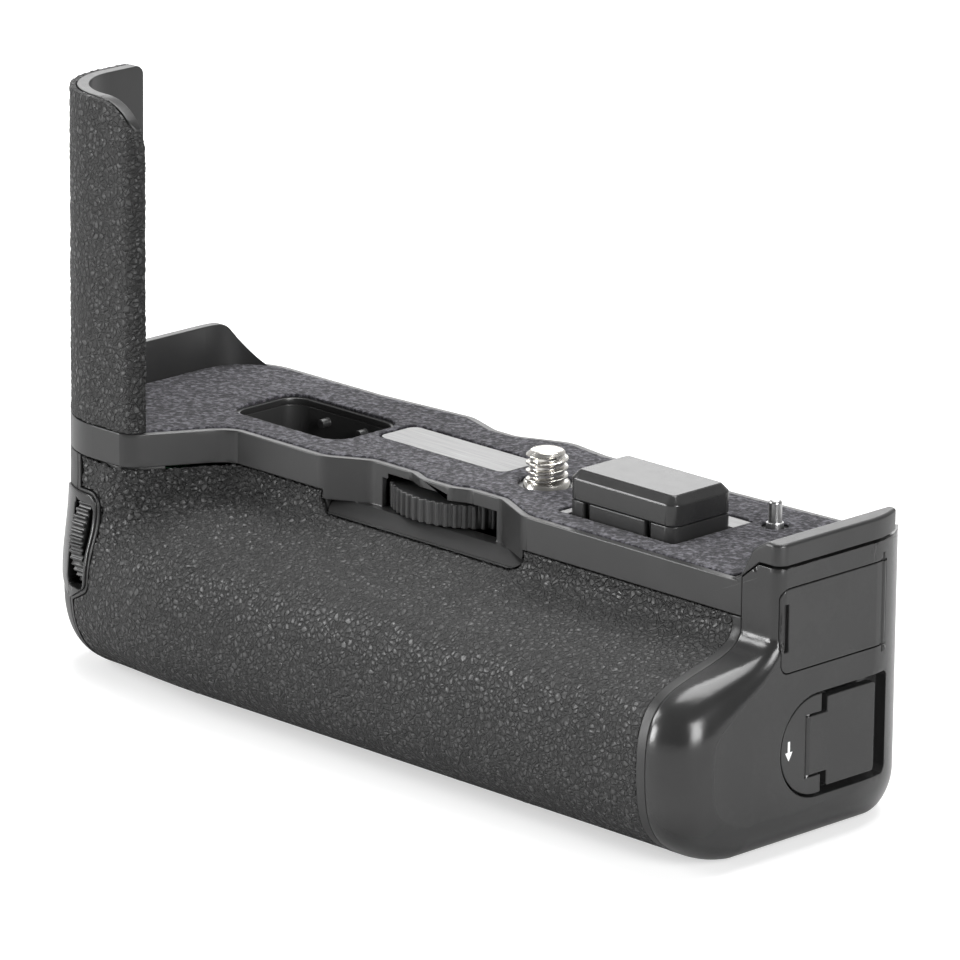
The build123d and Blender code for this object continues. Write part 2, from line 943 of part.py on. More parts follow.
def cover_outline(inset):
    """The cover's outline from above, drawn in by inset."""
    corners = [
        (bar_start_x, neck_y, 0),
        (recess_left_x, neck_y, scoop_end_r),
        (scoop_left_x, recess_back_y, scoop_r),
        (bump_left_x - bump_shoulder, recess_back_y, scoop_r),
        (bump_left_x, recess_bump_y, scoop_r),
        (bump_right_x, recess_bump_y, scoop_r),
        (bump_right_x + bump_shoulder, recess_back_y, scoop_r),
        (scoop_right_x, recess_back_y, scoop_r),
        (recess_right_x, neck_y, scoop_end_r),
        (x_right, neck_y, right_neck_r),
        (x_right, y_back, back_right_r),
        (back_swell_end_x, y_back, 0),
        (back_swell_x, case_back_y, ridge_r),
        (ridge_right_x, case_back_y, ridge_r),
        (ridge_x, ridge_y, ridge_r),
        (notch_right_x, notch_y, notch_r),
        (notch_left_x, notch_y, notch_r),
        (notch_start_x, case_back_y, ridge_r),
        (back_step_left_x, left_back_y, ridge_r),
        (x_left, left_back_y, back_left_r),
        (x_left, column_front_y, left_corner_r),
        (column_end_x, column_front_y, 0),
    ]
    points = [(bar_start_x, neck_y + inset)]
    radii = []
    for before, corner, after in zip(corners, corners[1:], corners[2:]):
        x, y, radius = inset_corner(before, corner, after, inset)
        points.append((x, y))
        radii.append(radius)
    points.append((column_end_x, column_front_y + inset))
    around = FilletPolyline(*points, radius=radii)
    steps = 6
    turn = []
    for step in range(steps + 1):
        share = step / steps
        x = column_end_x + (bar_start_x - column_end_x) * share
        slope = 6 * share * (1 - share) * (neck_y - column_front_y) / (bar_start_x - column_end_x)
        size = hypot(1, slope)
        turn.append((x - inset * slope / size, front_neck_y(x) + inset / size))
    return make_face(around.edges() + Spline(*turn).edges())


def inset_corner(before, corner, after, inset):
    """A corner of a left-turning outline drawn in by inset, with its matching radius."""
    size_in = hypot(corner[0] - before[0], corner[1] - before[1])
    size_out = hypot(after[0] - corner[0], after[1] - corner[1])
    in_x = (corner[0] - before[0]) / size_in
    in_y = (corner[1] - before[1]) / size_in
    out_x = (after[0] - corner[0]) / size_out
    out_y = (after[1] - corner[1]) / size_out
    reach = inset / (1 + in_x * out_x + in_y * out_y)
    x = corner[0] - (in_y + out_y) * reach
    y = corner[1] + (in_x + out_x) * reach
    if corner[2] == 0:
        return x, y, 0
    turn = in_x * out_y - in_y * out_x
    radius = corner[2] - inset if turn > 0 else corner[2] + inset
    return x, y, max(radius, fit_gap)


def cover_block(inset, z0, z1):
    """The cover's outline raised from z0 to z1 and cut off at the battery end's seam."""
    solid = extrude(Pos(0, 0, z0) * cover_outline(inset), amount=z1 - z0, dir=(0, 0, 1))
    return solid & block(x_left - overrun, case_right_x - inset, y_front, y_back + overrun, z0, z1)


def cover_openings(z0, z1):
    """Holes through the plate for the well, the connector and the screw."""
    cut = rounded_block(well_left_x, well_right_x, well_front_y, well_back_y, z0, z1, well_corner_r)
    cut += block(
        block_left_x + plug_clear, block_right_x - plug_clear, block_front_y + plug_clear,
        block_back_y - plug_clear, z0, z1)
    cut += rod_z(z0, z1, screw_x, screw_y, screw_collar_r + screw_hole_gap)
    cut += rod_z(z0, z1, pin_x, pin_y, pin_root_r)
    return cut


def lip():
    """The raised lip at the battery end, over the cap."""
    section_corners = [
        (lip_root_x, plate_low_z, 0),
        (case_right_x, plate_low_z, 0),
        (case_right_x, lip_root_z, 0),
        (lip_step_x, lip_low_z, lip_step_r),
        (x_right + overrun, lip_low_z, 0),
        (x_right + overrun, lip_top_z, 0),
        (lip_crest_x, lip_top_z, lip_crest_r),
        (lip_bend_x, lip_bend_z, lip_bend_r),
        (lip_foot_x, lip_foot_z, lip_foot_r),
        (lip_root_x, rim_z, 0),
    ]
    solid = prism_y(section_corners, neck_y - overrun, lip_back_y)
    plan = [
        (0, neck_y, 0),
        (x_right, neck_y, right_neck_r),
        (x_right, y_back, back_right_r),
        (0, y_back, 0),
    ]
    solid &= prism_z(plan, plate_low_z - overrun, overall_height)
    top_edges = solid.edges().filter_by_position(Axis.Z, lip_top_z - fit_gap, lip_top_z + fit_gap)
    end_x = x_right - fit_gap
    end_edges = [edge for edge in top_edges if edge.bounding_box().max.X > end_x]
    return fillet(end_edges, lip_edge_r)


def left_wall():
    """The low wall round the shutter end, slanted down at the back."""
    ring = cover_block(0, plate_low_z, wall_top_z) - cover_block(wall_thickness, plate_low_z, wall_top_z)
    profile = [
        (fin_back_y, plate_low_z, 0),
        (wall_back_y, plate_low_z, 0),
        (wall_back_y, rim_z, 0),
        (wall_back_y - wall_slant, wall_top_z, wall_corner_r),
        (fin_back_y, wall_top_z, 0),
    ]
    return ring & prism_x(profile, x_left - overrun, x_left + back_left_r)


def top_cover():
    """The cover: plate, satin rim, skirt, thumbwheel housing, low wall and lip."""
    solid = cover_block(0, seam_z, rim_z)
    solid -= cover_block(cover_wall, seam_z - overrun, plate_low_z)
    solid -= cover_block(rim_width, plate_top_z, rim_z + overrun)
    reach = prism_y(housing_corners, y_front, 0)
    face_part = cover_block(0, sill_z, seam_z) & reach
    sill = form(recess_left_x - overrun, recess_right_x + overrun, 0, seam_z) & reach
    sill &= block(recess_left_x, recess_right_x, y_front, 0, housing_seam_z, sill_z)
    slope = [
        (sill_front_y, housing_seam_z + sill_edge_height, 0),
        (neck_y, housing_seam_z + sill_edge_height, 0),
        (sill_y, sill_z, 0),
        (sill_y, rim_z, 0),
        (sill_front_y, rim_z, 0),
    ]
    sill -= prism_x(slope, recess_left_x - overrun, recess_right_x + overrun)
    inside_y = recess_back_y + cover_wall
    housing = face_part + sill
    housing -= block(
        recess_left_x + cover_wall, recess_right_x - cover_wall, inside_y, overrun,
        housing_seam_z - overrun, seam_z)
    solid += housing
    solid -= block(window_left_x, window_right_x, neck_y, inside_y + overrun, sill_z, window_top_z)
    solid -= wheel_space
    solid += left_wall()
    solid += lip()
    solid -= cover_openings(plate_low_z - overrun, plate_top_z + overrun)
    solid -= rod_x(room_right_x - overrun, cap_seam_x, power_jack_y, jack_z, jack_r)
    return largest(solid)


def fin_outline(depth_out, depth_in):
    """The fin from above, between two depths under its outer surface."""
    return [
        (x_left + depth_out, fin_back_y, 0),
        (x_left + depth_out, column_front_y + depth_out, left_corner_r - depth_out),
        (fin_right_x - depth_out, column_front_y + depth_out, fin_end_r - depth_out),
        (fin_right_x - depth_out, column_front_y + depth_in, 0),
        (x_left + depth_in, column_front_y + depth_in, left_corner_r - depth_in),
        (x_left + depth_in, fin_back_y, 0),
    ]


def fin_limits():
    """The fin's profile from the front and from the side, as one cutting solid."""
    front = [
        (x_left - overrun, plate_top_z, 0),
        (fin_right_x + fit_gap, plate_top_z, 0),
        (fin_right_x + fit_gap, fin_top_z, fin_corner_r),
        (x_left - overrun, fin_top_z, 0),
    ]
    side = [
        (y_front, plate_top_z, 0),
        (fin_back_y, plate_top_z, 0),
        (fin_back_y, fin_top_z, fin_back_corner_r),
        (y_front, fin_top_z, 0),
    ]
    return prism_y(front, y_front, 0) & prism_x(side, x_left - overrun, fin_right_x + 2 * overrun)


def fin_skin():
    """Leather-grained rubber on the outside of the fin."""
    depth = fin_skin_thickness + fin_shell_thickness
    solid = prism_z(fin_outline(0, depth), rim_z, fin_top_z) & fin_limits()
    return solid - prism_z(fin_outline(fin_skin_thickness, depth), plate_top_z, fin_top_z + overrun)


def fin_shell():
    """The fin's smooth inner shell, with a small tab at its foot."""
    depth = fin_skin_thickness + fin_shell_thickness
    solid = prism_z(fin_outline(fin_skin_thickness, depth), plate_top_z, fin_top_z) & fin_limits()
    tab_left_x = fin_right_x - fin_end_r - foot_tab_length
    tab_front_y = column_front_y + depth
    solid += block(
        tab_left_x, tab_left_x + foot_tab_length, tab_front_y - fit_gap, tab_front_y + foot_tab_depth,
        plate_top_z, pad_top_z + foot_tab_height)
    return largest(solid)


def felt_pad():
    """The flocked pad on the plate."""
    solid = cover_block(rim_width, plate_top_z, pad_top_z)
    solid &= block(x_left, felt_right_x, y_front, y_back, plate_top_z, pad_top_z)
    depth = fin_skin_thickness + fin_shell_thickness + felt_gap
    solid -= prism_z([
        (x_left - overrun, fin_back_y + felt_gap, 0),
        (x_left - overrun, column_front_y - overrun, 0),
        (fin_right_x + felt_gap, column_front_y - overrun, 0),
        (fin_right_x + felt_gap, column_front_y + depth, 0),
        (x_left + depth, column_front_y + depth, left_corner_r - depth),
        (x_left + depth, fin_back_y + felt_gap, 0),
    ], plate_top_z, pad_top_z)
    depth = fin_skin_thickness + fin_shell_thickness
    tab_left_x = fin_right_x - fin_end_r - foot_tab_length
    solid -= block(
        tab_left_x - felt_gap, tab_left_x + foot_tab_length + felt_gap, column_front_y + depth,
        column_front_y + depth + foot_tab_depth + felt_gap, plate_top_z, pad_top_z)
    solid -= left_wall()
    solid -= rounded_block(
        well_left_x - well_felt_gap, well_right_x + well_felt_gap, well_front_y - well_felt_gap,
        well_back_y + well_felt_gap, plate_top_z, pad_top_z, well_corner_r + well_felt_gap)
    solid -= rounded_block(
        label_left_x, label_right_x, label_front_y, label_back_y, plate_top_z, pad_top_z, label_corner_r)
    solid -= connector_opening(0, pad_top_z)
    solid -= rod_z(plate_top_z, pad_top_z, screw_x, screw_y, pad_screw_hole_r)
    solid -= rod_z(plate_top_z, pad_top_z, pin_x, pin_y, pin_flange_r)
    return largest(solid)


def connector_opening(inset, top_z):
    """The felt's window round the connector block, drawn in by inset."""
    return block(
        block_left_x - mat_left_reach + inset, block_right_x + felt_block_gap - inset,
        block_front_y - felt_block_gap + inset, block_back_y + mat_back_reach - inset, plate_top_z, top_z)


def connector_mat():
    """The pale mat on the plate round the connector block."""
    solid = connector_opening(mat_gap, plate_top_z + mat_thickness)
    return solid - block(
        block_left_x - mat_gap, block_right_x + mat_gap, block_front_y - mat_gap, block_back_y + mat_gap,
        plate_top_z, pad_top_z)


def well_liner():
    """The open storage well with two small pegs on its back wall."""
    low_z = plate_top_z - well_depth
    outer = rounded_block(
        well_left_x - well_wall, well_right_x + well_wall, well_front_y - well_wall,
        well_back_y + well_wall, low_z - well_wall, plate_low_z, well_corner_r + well_wall)
    room = rounded_block(
        well_left_x, well_right_x, well_front_y, well_back_y, low_z, plate_low_z + overrun, well_corner_r)
    floor_edges = room.edges().filter_by_position(Axis.Z, low_z - fit_gap, low_z + fit_gap)
    room = fillet(floor_edges, well_floor_r)
    solid = outer - room
    for share in well_peg_shares:
        x = well_left_x + (well_right_x - well_left_x) * share
        solid += rod_y(well_back_y - well_peg_length, well_back_y + fit_gap, x, peg_z, well_peg_r)
    return solid


def label_plate():
    """The silver plate in the pad's window, left bare."""
    inset = label_margin
    return rounded_block(
        label_left_x + inset, label_right_x - inset, label_front_y + inset, label_back_y - inset,
        plate_top_z, plate_top_z + label_thickness, label_corner_r - inset)


def connector_base():
    """The fixed lower half of the connector block, with two slots."""
    solid = rounded_block(
        block_left_x, block_right_x, block_front_y, block_back_y, plate_top_z, block_seam_z, block_corner_r)
    solid -= block(
        block_left_x + plug_clear, block_right_x - plug_clear, block_front_y + plug_clear,
        block_back_y - plug_clear, plate_top_z, block_seam_z)
    solid -= block(
        block_left_x + block_wall, block_right_x - block_wall, block_front_y + block_wall,
        block_back_y - block_wall, block_seam_z - spigot_height - fit_gap, block_seam_z)
    for x in (block_slot_left_x, block_slot_right_x):
        solid -= block(
            x - slot_width / 2, x + slot_width / 2, block_front_y, block_front_y + block_slot_depth,
            plate_top_z, block_seam_z)
    return solid


def connector_cap():
    """The hollow lift-off cap over the plug."""
    solid = rounded_block(
        block_left_x, block_right_x, block_front_y, block_back_y, block_seam_z + fit_gap, block_top_z,
        block_corner_r)
    solid = chamfer(solid.faces().sort_by(Axis.Z)[-1].edges(), block_chamfer)
    inner = block_wall + fit_gap
    low_z = block_seam_z - spigot_height
    solid += block(
        block_left_x + inner, block_right_x - inner, block_front_y + inner, block_back_y - inner,
        low_z, block_seam_z + overrun)
    inner += spigot_wall
    solid -= block(
        block_left_x + inner, block_right_x - inner, block_front_y + inner, block_back_y - inner,
        low_z, block_top_z - block_chamfer)
    return solid


def connector_plug():
    """The contact tongue that enters the camera's battery room, on the board."""
    inset = plug_clear + free_gap
    board_top_z = board_low_z + board_thickness
    solid = rounded_block(
        block_left_x + inset, block_right_x - inset, block_front_y + inset, block_back_y - inset,
        board_top_z, plug_top_z, block_corner_r / 2)
    groove_x = (block_left_x + block_right_x) / 2
    for step in range(-1, 2):
        x = groove_x + step * contact_pitch / 2
        solid -= block(
            x - slot_width / 2, x + slot_width / 2, block_front_y + inset, block_front_y + inset + slot_width,
            plate_top_z, plug_top_z)
    return solid


def locating_pin():
    """The steel pin that keeps the camera from turning on the grip."""
    solid = rod_z(plate_low_z, pad_top_z + pin_rise, pin_x, pin_y, pin_r)
    solid = chamfer(solid.faces().sort_by(Axis.Z)[-1].edges(), pin_chamfer)
    solid += rod_z(plate_low_z, pad_top_z + pin_root_rise, pin_x, pin_y, pin_root_r)
    return solid + rod_z(plate_low_z - pin_flange_thickness, plate_low_z, pin_x, pin_y, pin_flange_r)


def mounting_screw():
    """The mounting screw with its gear under the plate."""
    shaft = rod_z(gear_low_z, pad_top_z + screw_rise, screw_x, screw_y, screw_r)
    shaft = chamfer(shaft.faces().sort_by(Axis.Z)[-1].edges(), screw_chamfer)
    shaft += rod_z(gear_low_z, pad_top_z + screw_collar_rise, screw_x, screw_y, screw_collar_r)
    gear = gear_disc(screw_teeth, pi - wheel_lean() + pi / screw_teeth)
    return shaft + Pos(screw_x, screw_y, 0) * gear


def gear_disc(teeth, phase):
    """A flat gear with a little play between the teeth."""
    pitch_r = gear_module * teeth / 2
    root_r = pitch_r - dedendum_share * gear_module
    tip_r = pitch_r + addendum_share * gear_module
    return toothed_disc(
        teeth, root_r, tip_r, gear_root_share, gear_tip_share, gear_low_z, gear_top_z, phase)


def mounting_wheel():
    """The ribbed wheel that turns the screw, with its gear on top."""
    rim = toothed_disc(
        wheel_ribs, wheel_r - rib_depth, wheel_r, rib_root_share, rib_tip_share, wheel_low_z,
        wheel_top_z, 0)
    rim += rod_z(wheel_top_z, gear_top_z, 0, 0, hub_r)
    rim += gear_disc(wheel_teeth, -wheel_lean())
    rim -= rod_z(wheel_low_z, gear_top_z, 0, 0, wheel_axle_r + shaft_gap)
    return Pos(wheel_x, wheel_y, 0) * rim


def wheel_lean():
    """The angle by which the line from the wheel to the screw dips below X."""
    return atan2(wheel_offset_y, screw_x - wheel_x)


def wheel_axle():
    """The fixed pin the wheel turns on, with a collar under the wheel."""
    pin = rod_z(room_floor_z, gear_top_z - gear_height / 2, wheel_x, wheel_y, wheel_axle_r)
    return pin + rod_z(boss_top_z, wheel_low_z - fit_gap, wheel_x, wheel_y, boss_r)


def screw_retainer():
    """The bracket under the screw's gear, hung from the plate by two posts."""
    top_z = gear_low_z - gear_play
    low_z = top_z - retainer_thickness
    solid = block(
        screw_x - retainer_post_inset, retainer_right_x, retainer_front_y, retainer_back_y, low_z, top_z)
    solid -= rod_z(low_z, top_z, wheel_x, wheel_y, wheel_r + wheel_clear)
    for y in retainer_post_ys():
        solid += rod_z(top_z - overrun, plate_low_z, retainer_post_x, y, retainer_post_r)
        solid -= rod_z(low_z, plate_low_z, retainer_post_x, y, retainer_screw_r)
    return largest(solid)


def retainer_post_ys():
    """Where the retainer's two posts stand."""
    return retainer_front_y + retainer_post_inset, retainer_back_y - retainer_post_inset


def retainer_screws():
    """The two screws that hold the retainer."""
    low_z = gear_low_z - gear_play - retainer_thickness
    solids = []
    for y in retainer_post_ys():
        screw = rod_z(low_z, plate_low_z, retainer_post_x, y, retainer_screw_r)
        head = rod_z(low_z - retainer_head_height, low_z, retainer_post_x, y, retainer_head_r)
        slot = block(
            retainer_post_x - retainer_head_r, retainer_post_x + retainer_head_r, y - cross_width / 2,
            y + cross_width / 2, low_z - retainer_head_height, low_z - retainer_head_height / 2)
        solids.append(screw + head - slot)
    return Compound(children=solids)


def circuit_board():
    """The main board, with the chips on it."""
    top_z = board_low_z + board_thickness
    solid = block(board_left_x, board_right_x, room_front_y + fit_gap, board_back_y, board_low_z, top_z)
    chip = 2 * stand_r
    chip_back_y = board_back_y - chip_inset
    for share in chip_shares:
        x = board_left_x + (board_right_x - board_left_x) * share
        solid += block(
            x - chip / 2, x + chip / 2, chip_back_y - chip, chip_back_y, top_z, top_z + chip_height)
    return solid


def control_board():
    """The upright board behind the dials."""
    return block(
        control_board_x, control_board_x + control_board_thickness, control_board_front_y,
        control_board_back_y, column_room_low_z, control_board_top_z)


def rear_board():
    """The upright board behind the rear buttons."""
    return block(
        rear_board_left_x, rear_board_right_x, rear_board_y, rear_board_y + rear_board_thickness,
        column_room_low_z, rear_board_top_z)


def dial_encoders():
    """The two dial encoders on the control board, with their fixed shafts."""
    solids = []
    for y, z in ((front_dial_y, front_dial_z), (rear_dial_y, rear_dial_z)):
        body = block(
            control_board_x - encoder_depth, control_board_x, y - encoder_half, y + encoder_half,
            z - encoder_half, z + encoder_half)
        shaft = rod_x(
            dial_left_x - fit_gap - dial_head_length, control_board_x - encoder_depth / 2, y, z, dial_shaft_r)
        head = rod_x(dial_left_x - fit_gap - dial_head_length, dial_left_x - fit_gap, y, z, dial_head_r)
        solids.append(body + shaft + head)
    return Compound(children=solids)


def dial(y, z, radius, ribs):
    """A ribbed dial along X."""
    pitch = 2 * pi / ribs
    root_r = radius - dial_rib_depth
    corners = [
        (root_r, -dial_rib_root_share),
        (radius, -dial_rib_tip_share),
        (radius, dial_rib_tip_share),
        (root_r, dial_rib_root_share),
    ]
    points = []
    for rib in range(ribs):
        for r, share in corners:
            angle = pitch * (rib + share)
            points.append((r * cos(angle), r * sin(angle)))
    plane = Plane(origin=(dial_left_x, y, z), x_dir=(0, 1, 0), z_dir=(1, 0, 0))
    solid = extrude(plane * make_face(Polyline(*points, close=True)), amount=dial_width)
    return solid - rod_x(dial_left_x, dial_right_x, y, z, dial_shaft_r + shaft_gap)


def shutter_button():
    """The shutter button: a domed crown, its flange and its stem."""
    crown_x = x_left - shutter_proud
    flange_x = x_left + cover_wall + boss_plate_depth + fit_gap
    solid = rod_x(crown_x, flange_x + flange_thickness, shutter_y, shutter_z, shutter_r)
    dome = Pos(crown_x + shutter_crown_r, shutter_y, shutter_z) * Sphere(shutter_crown_r)
    guard = rod_x(crown_x + overrun, flange_x + overrun, shutter_y, shutter_z, shutter_r + overrun)
    solid &= dome + guard
    solid += rod_x(flange_x, flange_x + flange_thickness, shutter_y, shutter_z, shutter_r + flange_extra)
    tip_x = control_board_x - switch_depth - shutter_travel - 2 * fit_gap
    return solid + rod_x(flange_x, tip_x, shutter_y, shutter_z, stem_r)


def shutter_spring():
    """The coil spring round the shutter button's stem."""
    flange_x = x_left + cover_wall + boss_plate_depth + fit_gap + flange_thickness
    start_x = flange_x + spring_wire_r
    end_x = control_board_x - switch_depth - spring_wire_r
    length = end_x - start_x
    path = Helix(pitch=length / spring_turns, height=length, radius=spring_r, center=(0, 0, 0))
    plane = Plane(origin=path @ 0, z_dir=path % 0)
    coil = sweep(plane * Circle(spring_wire_r), path=path)
    return Pos(start_x, shutter_y, shutter_z) * Rot(0, 90, 0) * coil


def shutter_switch():
    """The two-stage switch on the control board and the fixed rest of the spring."""
    body = rod_x(control_board_x - switch_depth, control_board_x, shutter_y, shutter_z, switch_r + fit_gap)
    pocket = rod_x(
        control_board_x - switch_depth, control_board_x - switch_depth + fit_gap, shutter_y, shutter_z,
        stem_r)
    return body - pocket


def lock_lever():
    """The ring lever round the shutter button, with a small tab."""
    inner_r = shutter_r + button_gap + collar_width + shaft_gap
    left_x = x_left + fit_gap
    right_x = x_left + lever_recess - fit_gap
    solid = rod_x(left_x, right_x, shutter_y, shutter_z, lever_r)
    solid += block(
        x_left - shutter_proud, right_x, shutter_y - lever_tab_width / 2, shutter_y + lever_tab_width / 2,
        shutter_z + inner_r + fit_gap, shutter_z + lever_r - fit_gap)
    return solid - rod_x(x_left - overrun, right_x, shutter_y, shutter_z, inner_r)


def function_button():
    """The small round button under the lever."""
    crown_x = x_left - shutter_proud / 2
    flange_x = x_left + cover_wall + fit_gap
    solid = rod_x(crown_x, flange_x + flange_thickness, function_y, function_z, function_r)
    solid = fillet(solid.faces().sort_by(Axis.X)[0].edges(), function_edge_r)
    solid += rod_x(
        flange_x, flange_x + flange_thickness, function_y, function_z, function_r + flange_extra)
    tip_x = control_board_x - dome_height - button_travel - fit_gap
    return solid + rod_x(flange_x, tip_x, function_y, function_z, stem_r)


def button_domes():
    """The snap domes under the buttons."""
    solids = [rod_x(control_board_x - dome_height, control_board_x, function_y, function_z, dome_r)]
    board_y = rear_board_y + rear_board_thickness
    for x, z in rear_button_places.values():
        solids.append(rod_y(board_y, board_y + dome_height, x, z, dome_r))
    return Compound(children=solids)


def rear_panel():
    """The rear control panel with its button holes."""
    solid = rear_panel_blank(panel_thickness)
    front_y = left_back_y - panel_thickness
    for x, z in rear_button_places.values():
        solid -= rod_y(front_y, left_back_y, x, z, rear_button_r + button_gap)
    solid -= rod_y(front_y, left_back_y, focus_x, focus_z, stick_hole_r)
    solid -= rod_y(front_y, left_back_y, lamp_x, lower_button_z, lamp_r)
    return solid


def rear_button(name):
    """One rear button: crown, flange behind the case wall and stem."""
    x, z = rear_button_places[name]
    flange_y = column_room_back_y - fit_gap
    crown_y = left_back_y + rear_button_proud
    crown = rod_y(flange_y - flange_thickness, crown_y, x, z, rear_button_r)
    crown = fillet(crown.faces().sort_by(Axis.Y)[-1].edges(), rear_button_proud / 2)
    solid = crown + rod_y(flange_y - flange_thickness, flange_y, x, z, rear_button_r + rear_flange_extra)
    tip_y = rear_board_y + rear_board_thickness + dome_height + button_travel + fit_gap
    return solid + rod_y(tip_y, flange_y, x, z, stem_r)


def gimbal_base():
    """The two fixed cheeks that hold the focus lever's rocker."""
    board_y = rear_board_y + rear_board_thickness
    solids = []
    for side in (-1, 1):
        near_x = focus_x + side * (rocker_half + cheek_gap)
        far_x = near_x + side * cheek_thickness
        cheek = block(
            min(near_x, far_x), max(near_x, far_x), board_y, cheek_top_y, focus_z - cheek_half,
            focus_z + cheek_half)
        hole = rod_x(min(near_x, far_x), max(near_x, far_x), gimbal_y, focus_z, gimbal_pin_r + shaft_gap)
        solids.append(cheek - hole)
    return Compound(children=solids)


def focus_rocker():
    """The gimbal's inner frame, turning on two pins along X."""
    half = rocker_half
    y0 = gimbal_y - rocker_thickness / 2
    y1 = gimbal_y + rocker_thickness / 2
    solid = block(focus_x - half, focus_x + half, y0, y1, focus_z - half, focus_z + half)
    hole = rocker_hole_half
    solid -= block(focus_x - hole, focus_x + hole, y0, y1, focus_z - hole, focus_z + hole)
    reach = half + cheek_gap + cheek_thickness
    for side in (-1, 1):
        near_x = focus_x + side * (half - cheek_gap)
        far_x = focus_x + side * reach
        solid += rod_x(min(near_x, far_x), max(near_x, far_x), gimbal_y, focus_z, gimbal_pin_r)
    return solid - rod_z(focus_z - half, focus_z + half, focus_x, gimbal_y, gimbal_pin_r + shaft_gap)


def focus_lever():
    """The tilting focus lever: a stick with a round cap and two pins along Z."""
    top_y = stick_cap_low_y + stick_cap_height
    stick = rod_y(gimbal_y - stick_r, stick_cap_low_y + fit_gap, focus_x, focus_z, stick_r)
    cap = rod_y(stick_cap_low_y, top_y, focus_x, focus_z, focus_r)
    cap = chamfer(cap.faces().sort_by(Axis.Y)[-1].edges(), stick_cap_chamfer)
    pins = rod_z(focus_z - rocker_half, focus_z + rocker_half, focus_x, gimbal_y, gimbal_pin_r)
    return stick + cap + pins


def indicator_lamp():
    """The small lamp in the rear panel."""
    return rod_y(column_room_back_y - lamp_reach, left_back_y, lamp_x, lower_button_z, lamp_r)


def contact_block():
    """The fixed contacts at the inner end of the battery bay."""
    solid = block(
        bay_left_x, bay_left_x + contact_block_depth, tray_front_y + contact_pitch,
        tray_back_y - contact_pitch, contact_z - contact_height / 2, contact_z + contact_height / 2)
    for index in range(contact_count):
        y = bay_centre_y + contact_pitch * (index - (contact_count - 1) / 2)
        x = bay_left_x + contact_block_depth
        solid += block(
            x, x + contact_rivet, y - contact_width / 2, y + contact_width / 2,
            contact_z - contact_width / 2, contact_z + contact_width / 2)
    return solid


def jack(y):
    """A round socket through the case's end wall."""
    solid = rod_x(jack_left_x, jack_right_x, y, jack_z, jack_r - jack_wall_gap)
    solid -= rod_x(jack_left_x + jack_r, jack_right_x, y, jack_z, jack_bore_r)
    seat = block(
        jack_left_x, room_right_x, y - jack_r - fit_gap, y + jack_r + fit_gap, room_floor_z, jack_z)
    return solid + (seat - rod_x(jack_left_x + jack_r, jack_right_x, y, jack_z, jack_bore_r))


def power_jack():
    """The power inlet, with its centre pin."""
    pin = rod_x(jack_left_x + jack_r, jack_right_x - power_pin_inset, power_jack_y, jack_z, power_pin_r)
    return jack(power_jack_y) + pin


def headphone_jack():
    """The second, open jack."""
    return jack(headphone_jack_y)


def battery_left_xs():
    """The left ends of the two battery packs."""
    first = tray_left_x + tray_end_wall + battery_gap
    return first, first + battery_length + tray_divider + 2 * battery_gap


def tray_frame():
    """The battery tray's frame, open at the top, with windows in its sides."""
    top_z = tray_low_z + tray_height
    y0 = tray_front_y
    y1 = tray_back_y
    solid = block(tray_left_x, cap_seam_x, y0, y1, tray_low_z, top_z)
    for left_x in battery_left_xs():
        solid -= block(
            left_x - battery_gap, left_x + battery_length + battery_gap, y0 + tray_wall, y1 - tray_wall,
            tray_low_z + tray_floor, top_z)
        inset = battery_length * (1 - window_share) / 2
        solid -= block(
            left_x + inset, left_x + battery_length - inset, y0 - overrun, y1 + overrun,
            tray_low_z + 2 * tray_floor, top_z - tray_floor)
    return solid


def battery(index):
    """One battery pack, with its contact strip at the inner end."""
    left_x = battery_left_xs()[index]
    low_z = tray_low_z + tray_floor
    half = battery_width / 2
    solid = block(
        left_x, left_x + battery_length, bay_centre_y - half, bay_centre_y + half, low_z,
        low_z + battery_height)
    solid = fillet(solid.edges().filter_by(Axis.X), battery_corner_r)
    for step in range(contact_count):
        y = bay_centre_y + contact_pitch * (step - (contact_count - 1) / 2)
        solid -= block(
            left_x, left_x + contact_rivet, y - contact_width / 2, y + contact_width / 2,
            contact_z - contact_width / 2, contact_z + contact_width / 2)
    return solid


def tray_contacts():
    """Contact strips on the inner end and on the divider of the tray."""
    solids = []
    reach = tray_low_z + tray_height
    for x in (tray_left_x, battery_left_xs()[1] - battery_gap - tray_divider):
        for step in range(contact_count):
            y = bay_centre_y + contact_pitch * (step - (contact_count - 1) / 2)
            solids.append(block(
                x, x + contact_thickness, y - contact_width / 2, y + contact_width / 2, reach,
                reach + strip_height))
    return Compound(children=solids)


def latch_recess_face(gap):
    """The D-shaped recess of the latch, drawn in by gap."""
    half = latch_r - gap
    corners = [
        (latch_y - half, latch_z - half, half - fit_gap),
        (latch_right_y - gap, latch_z - half, latch_corner_r),
        (latch_right_y - gap, latch_z + half, latch_corner_r),
        (latch_y - half, latch_z + half, half - fit_gap),
    ]
    return corners


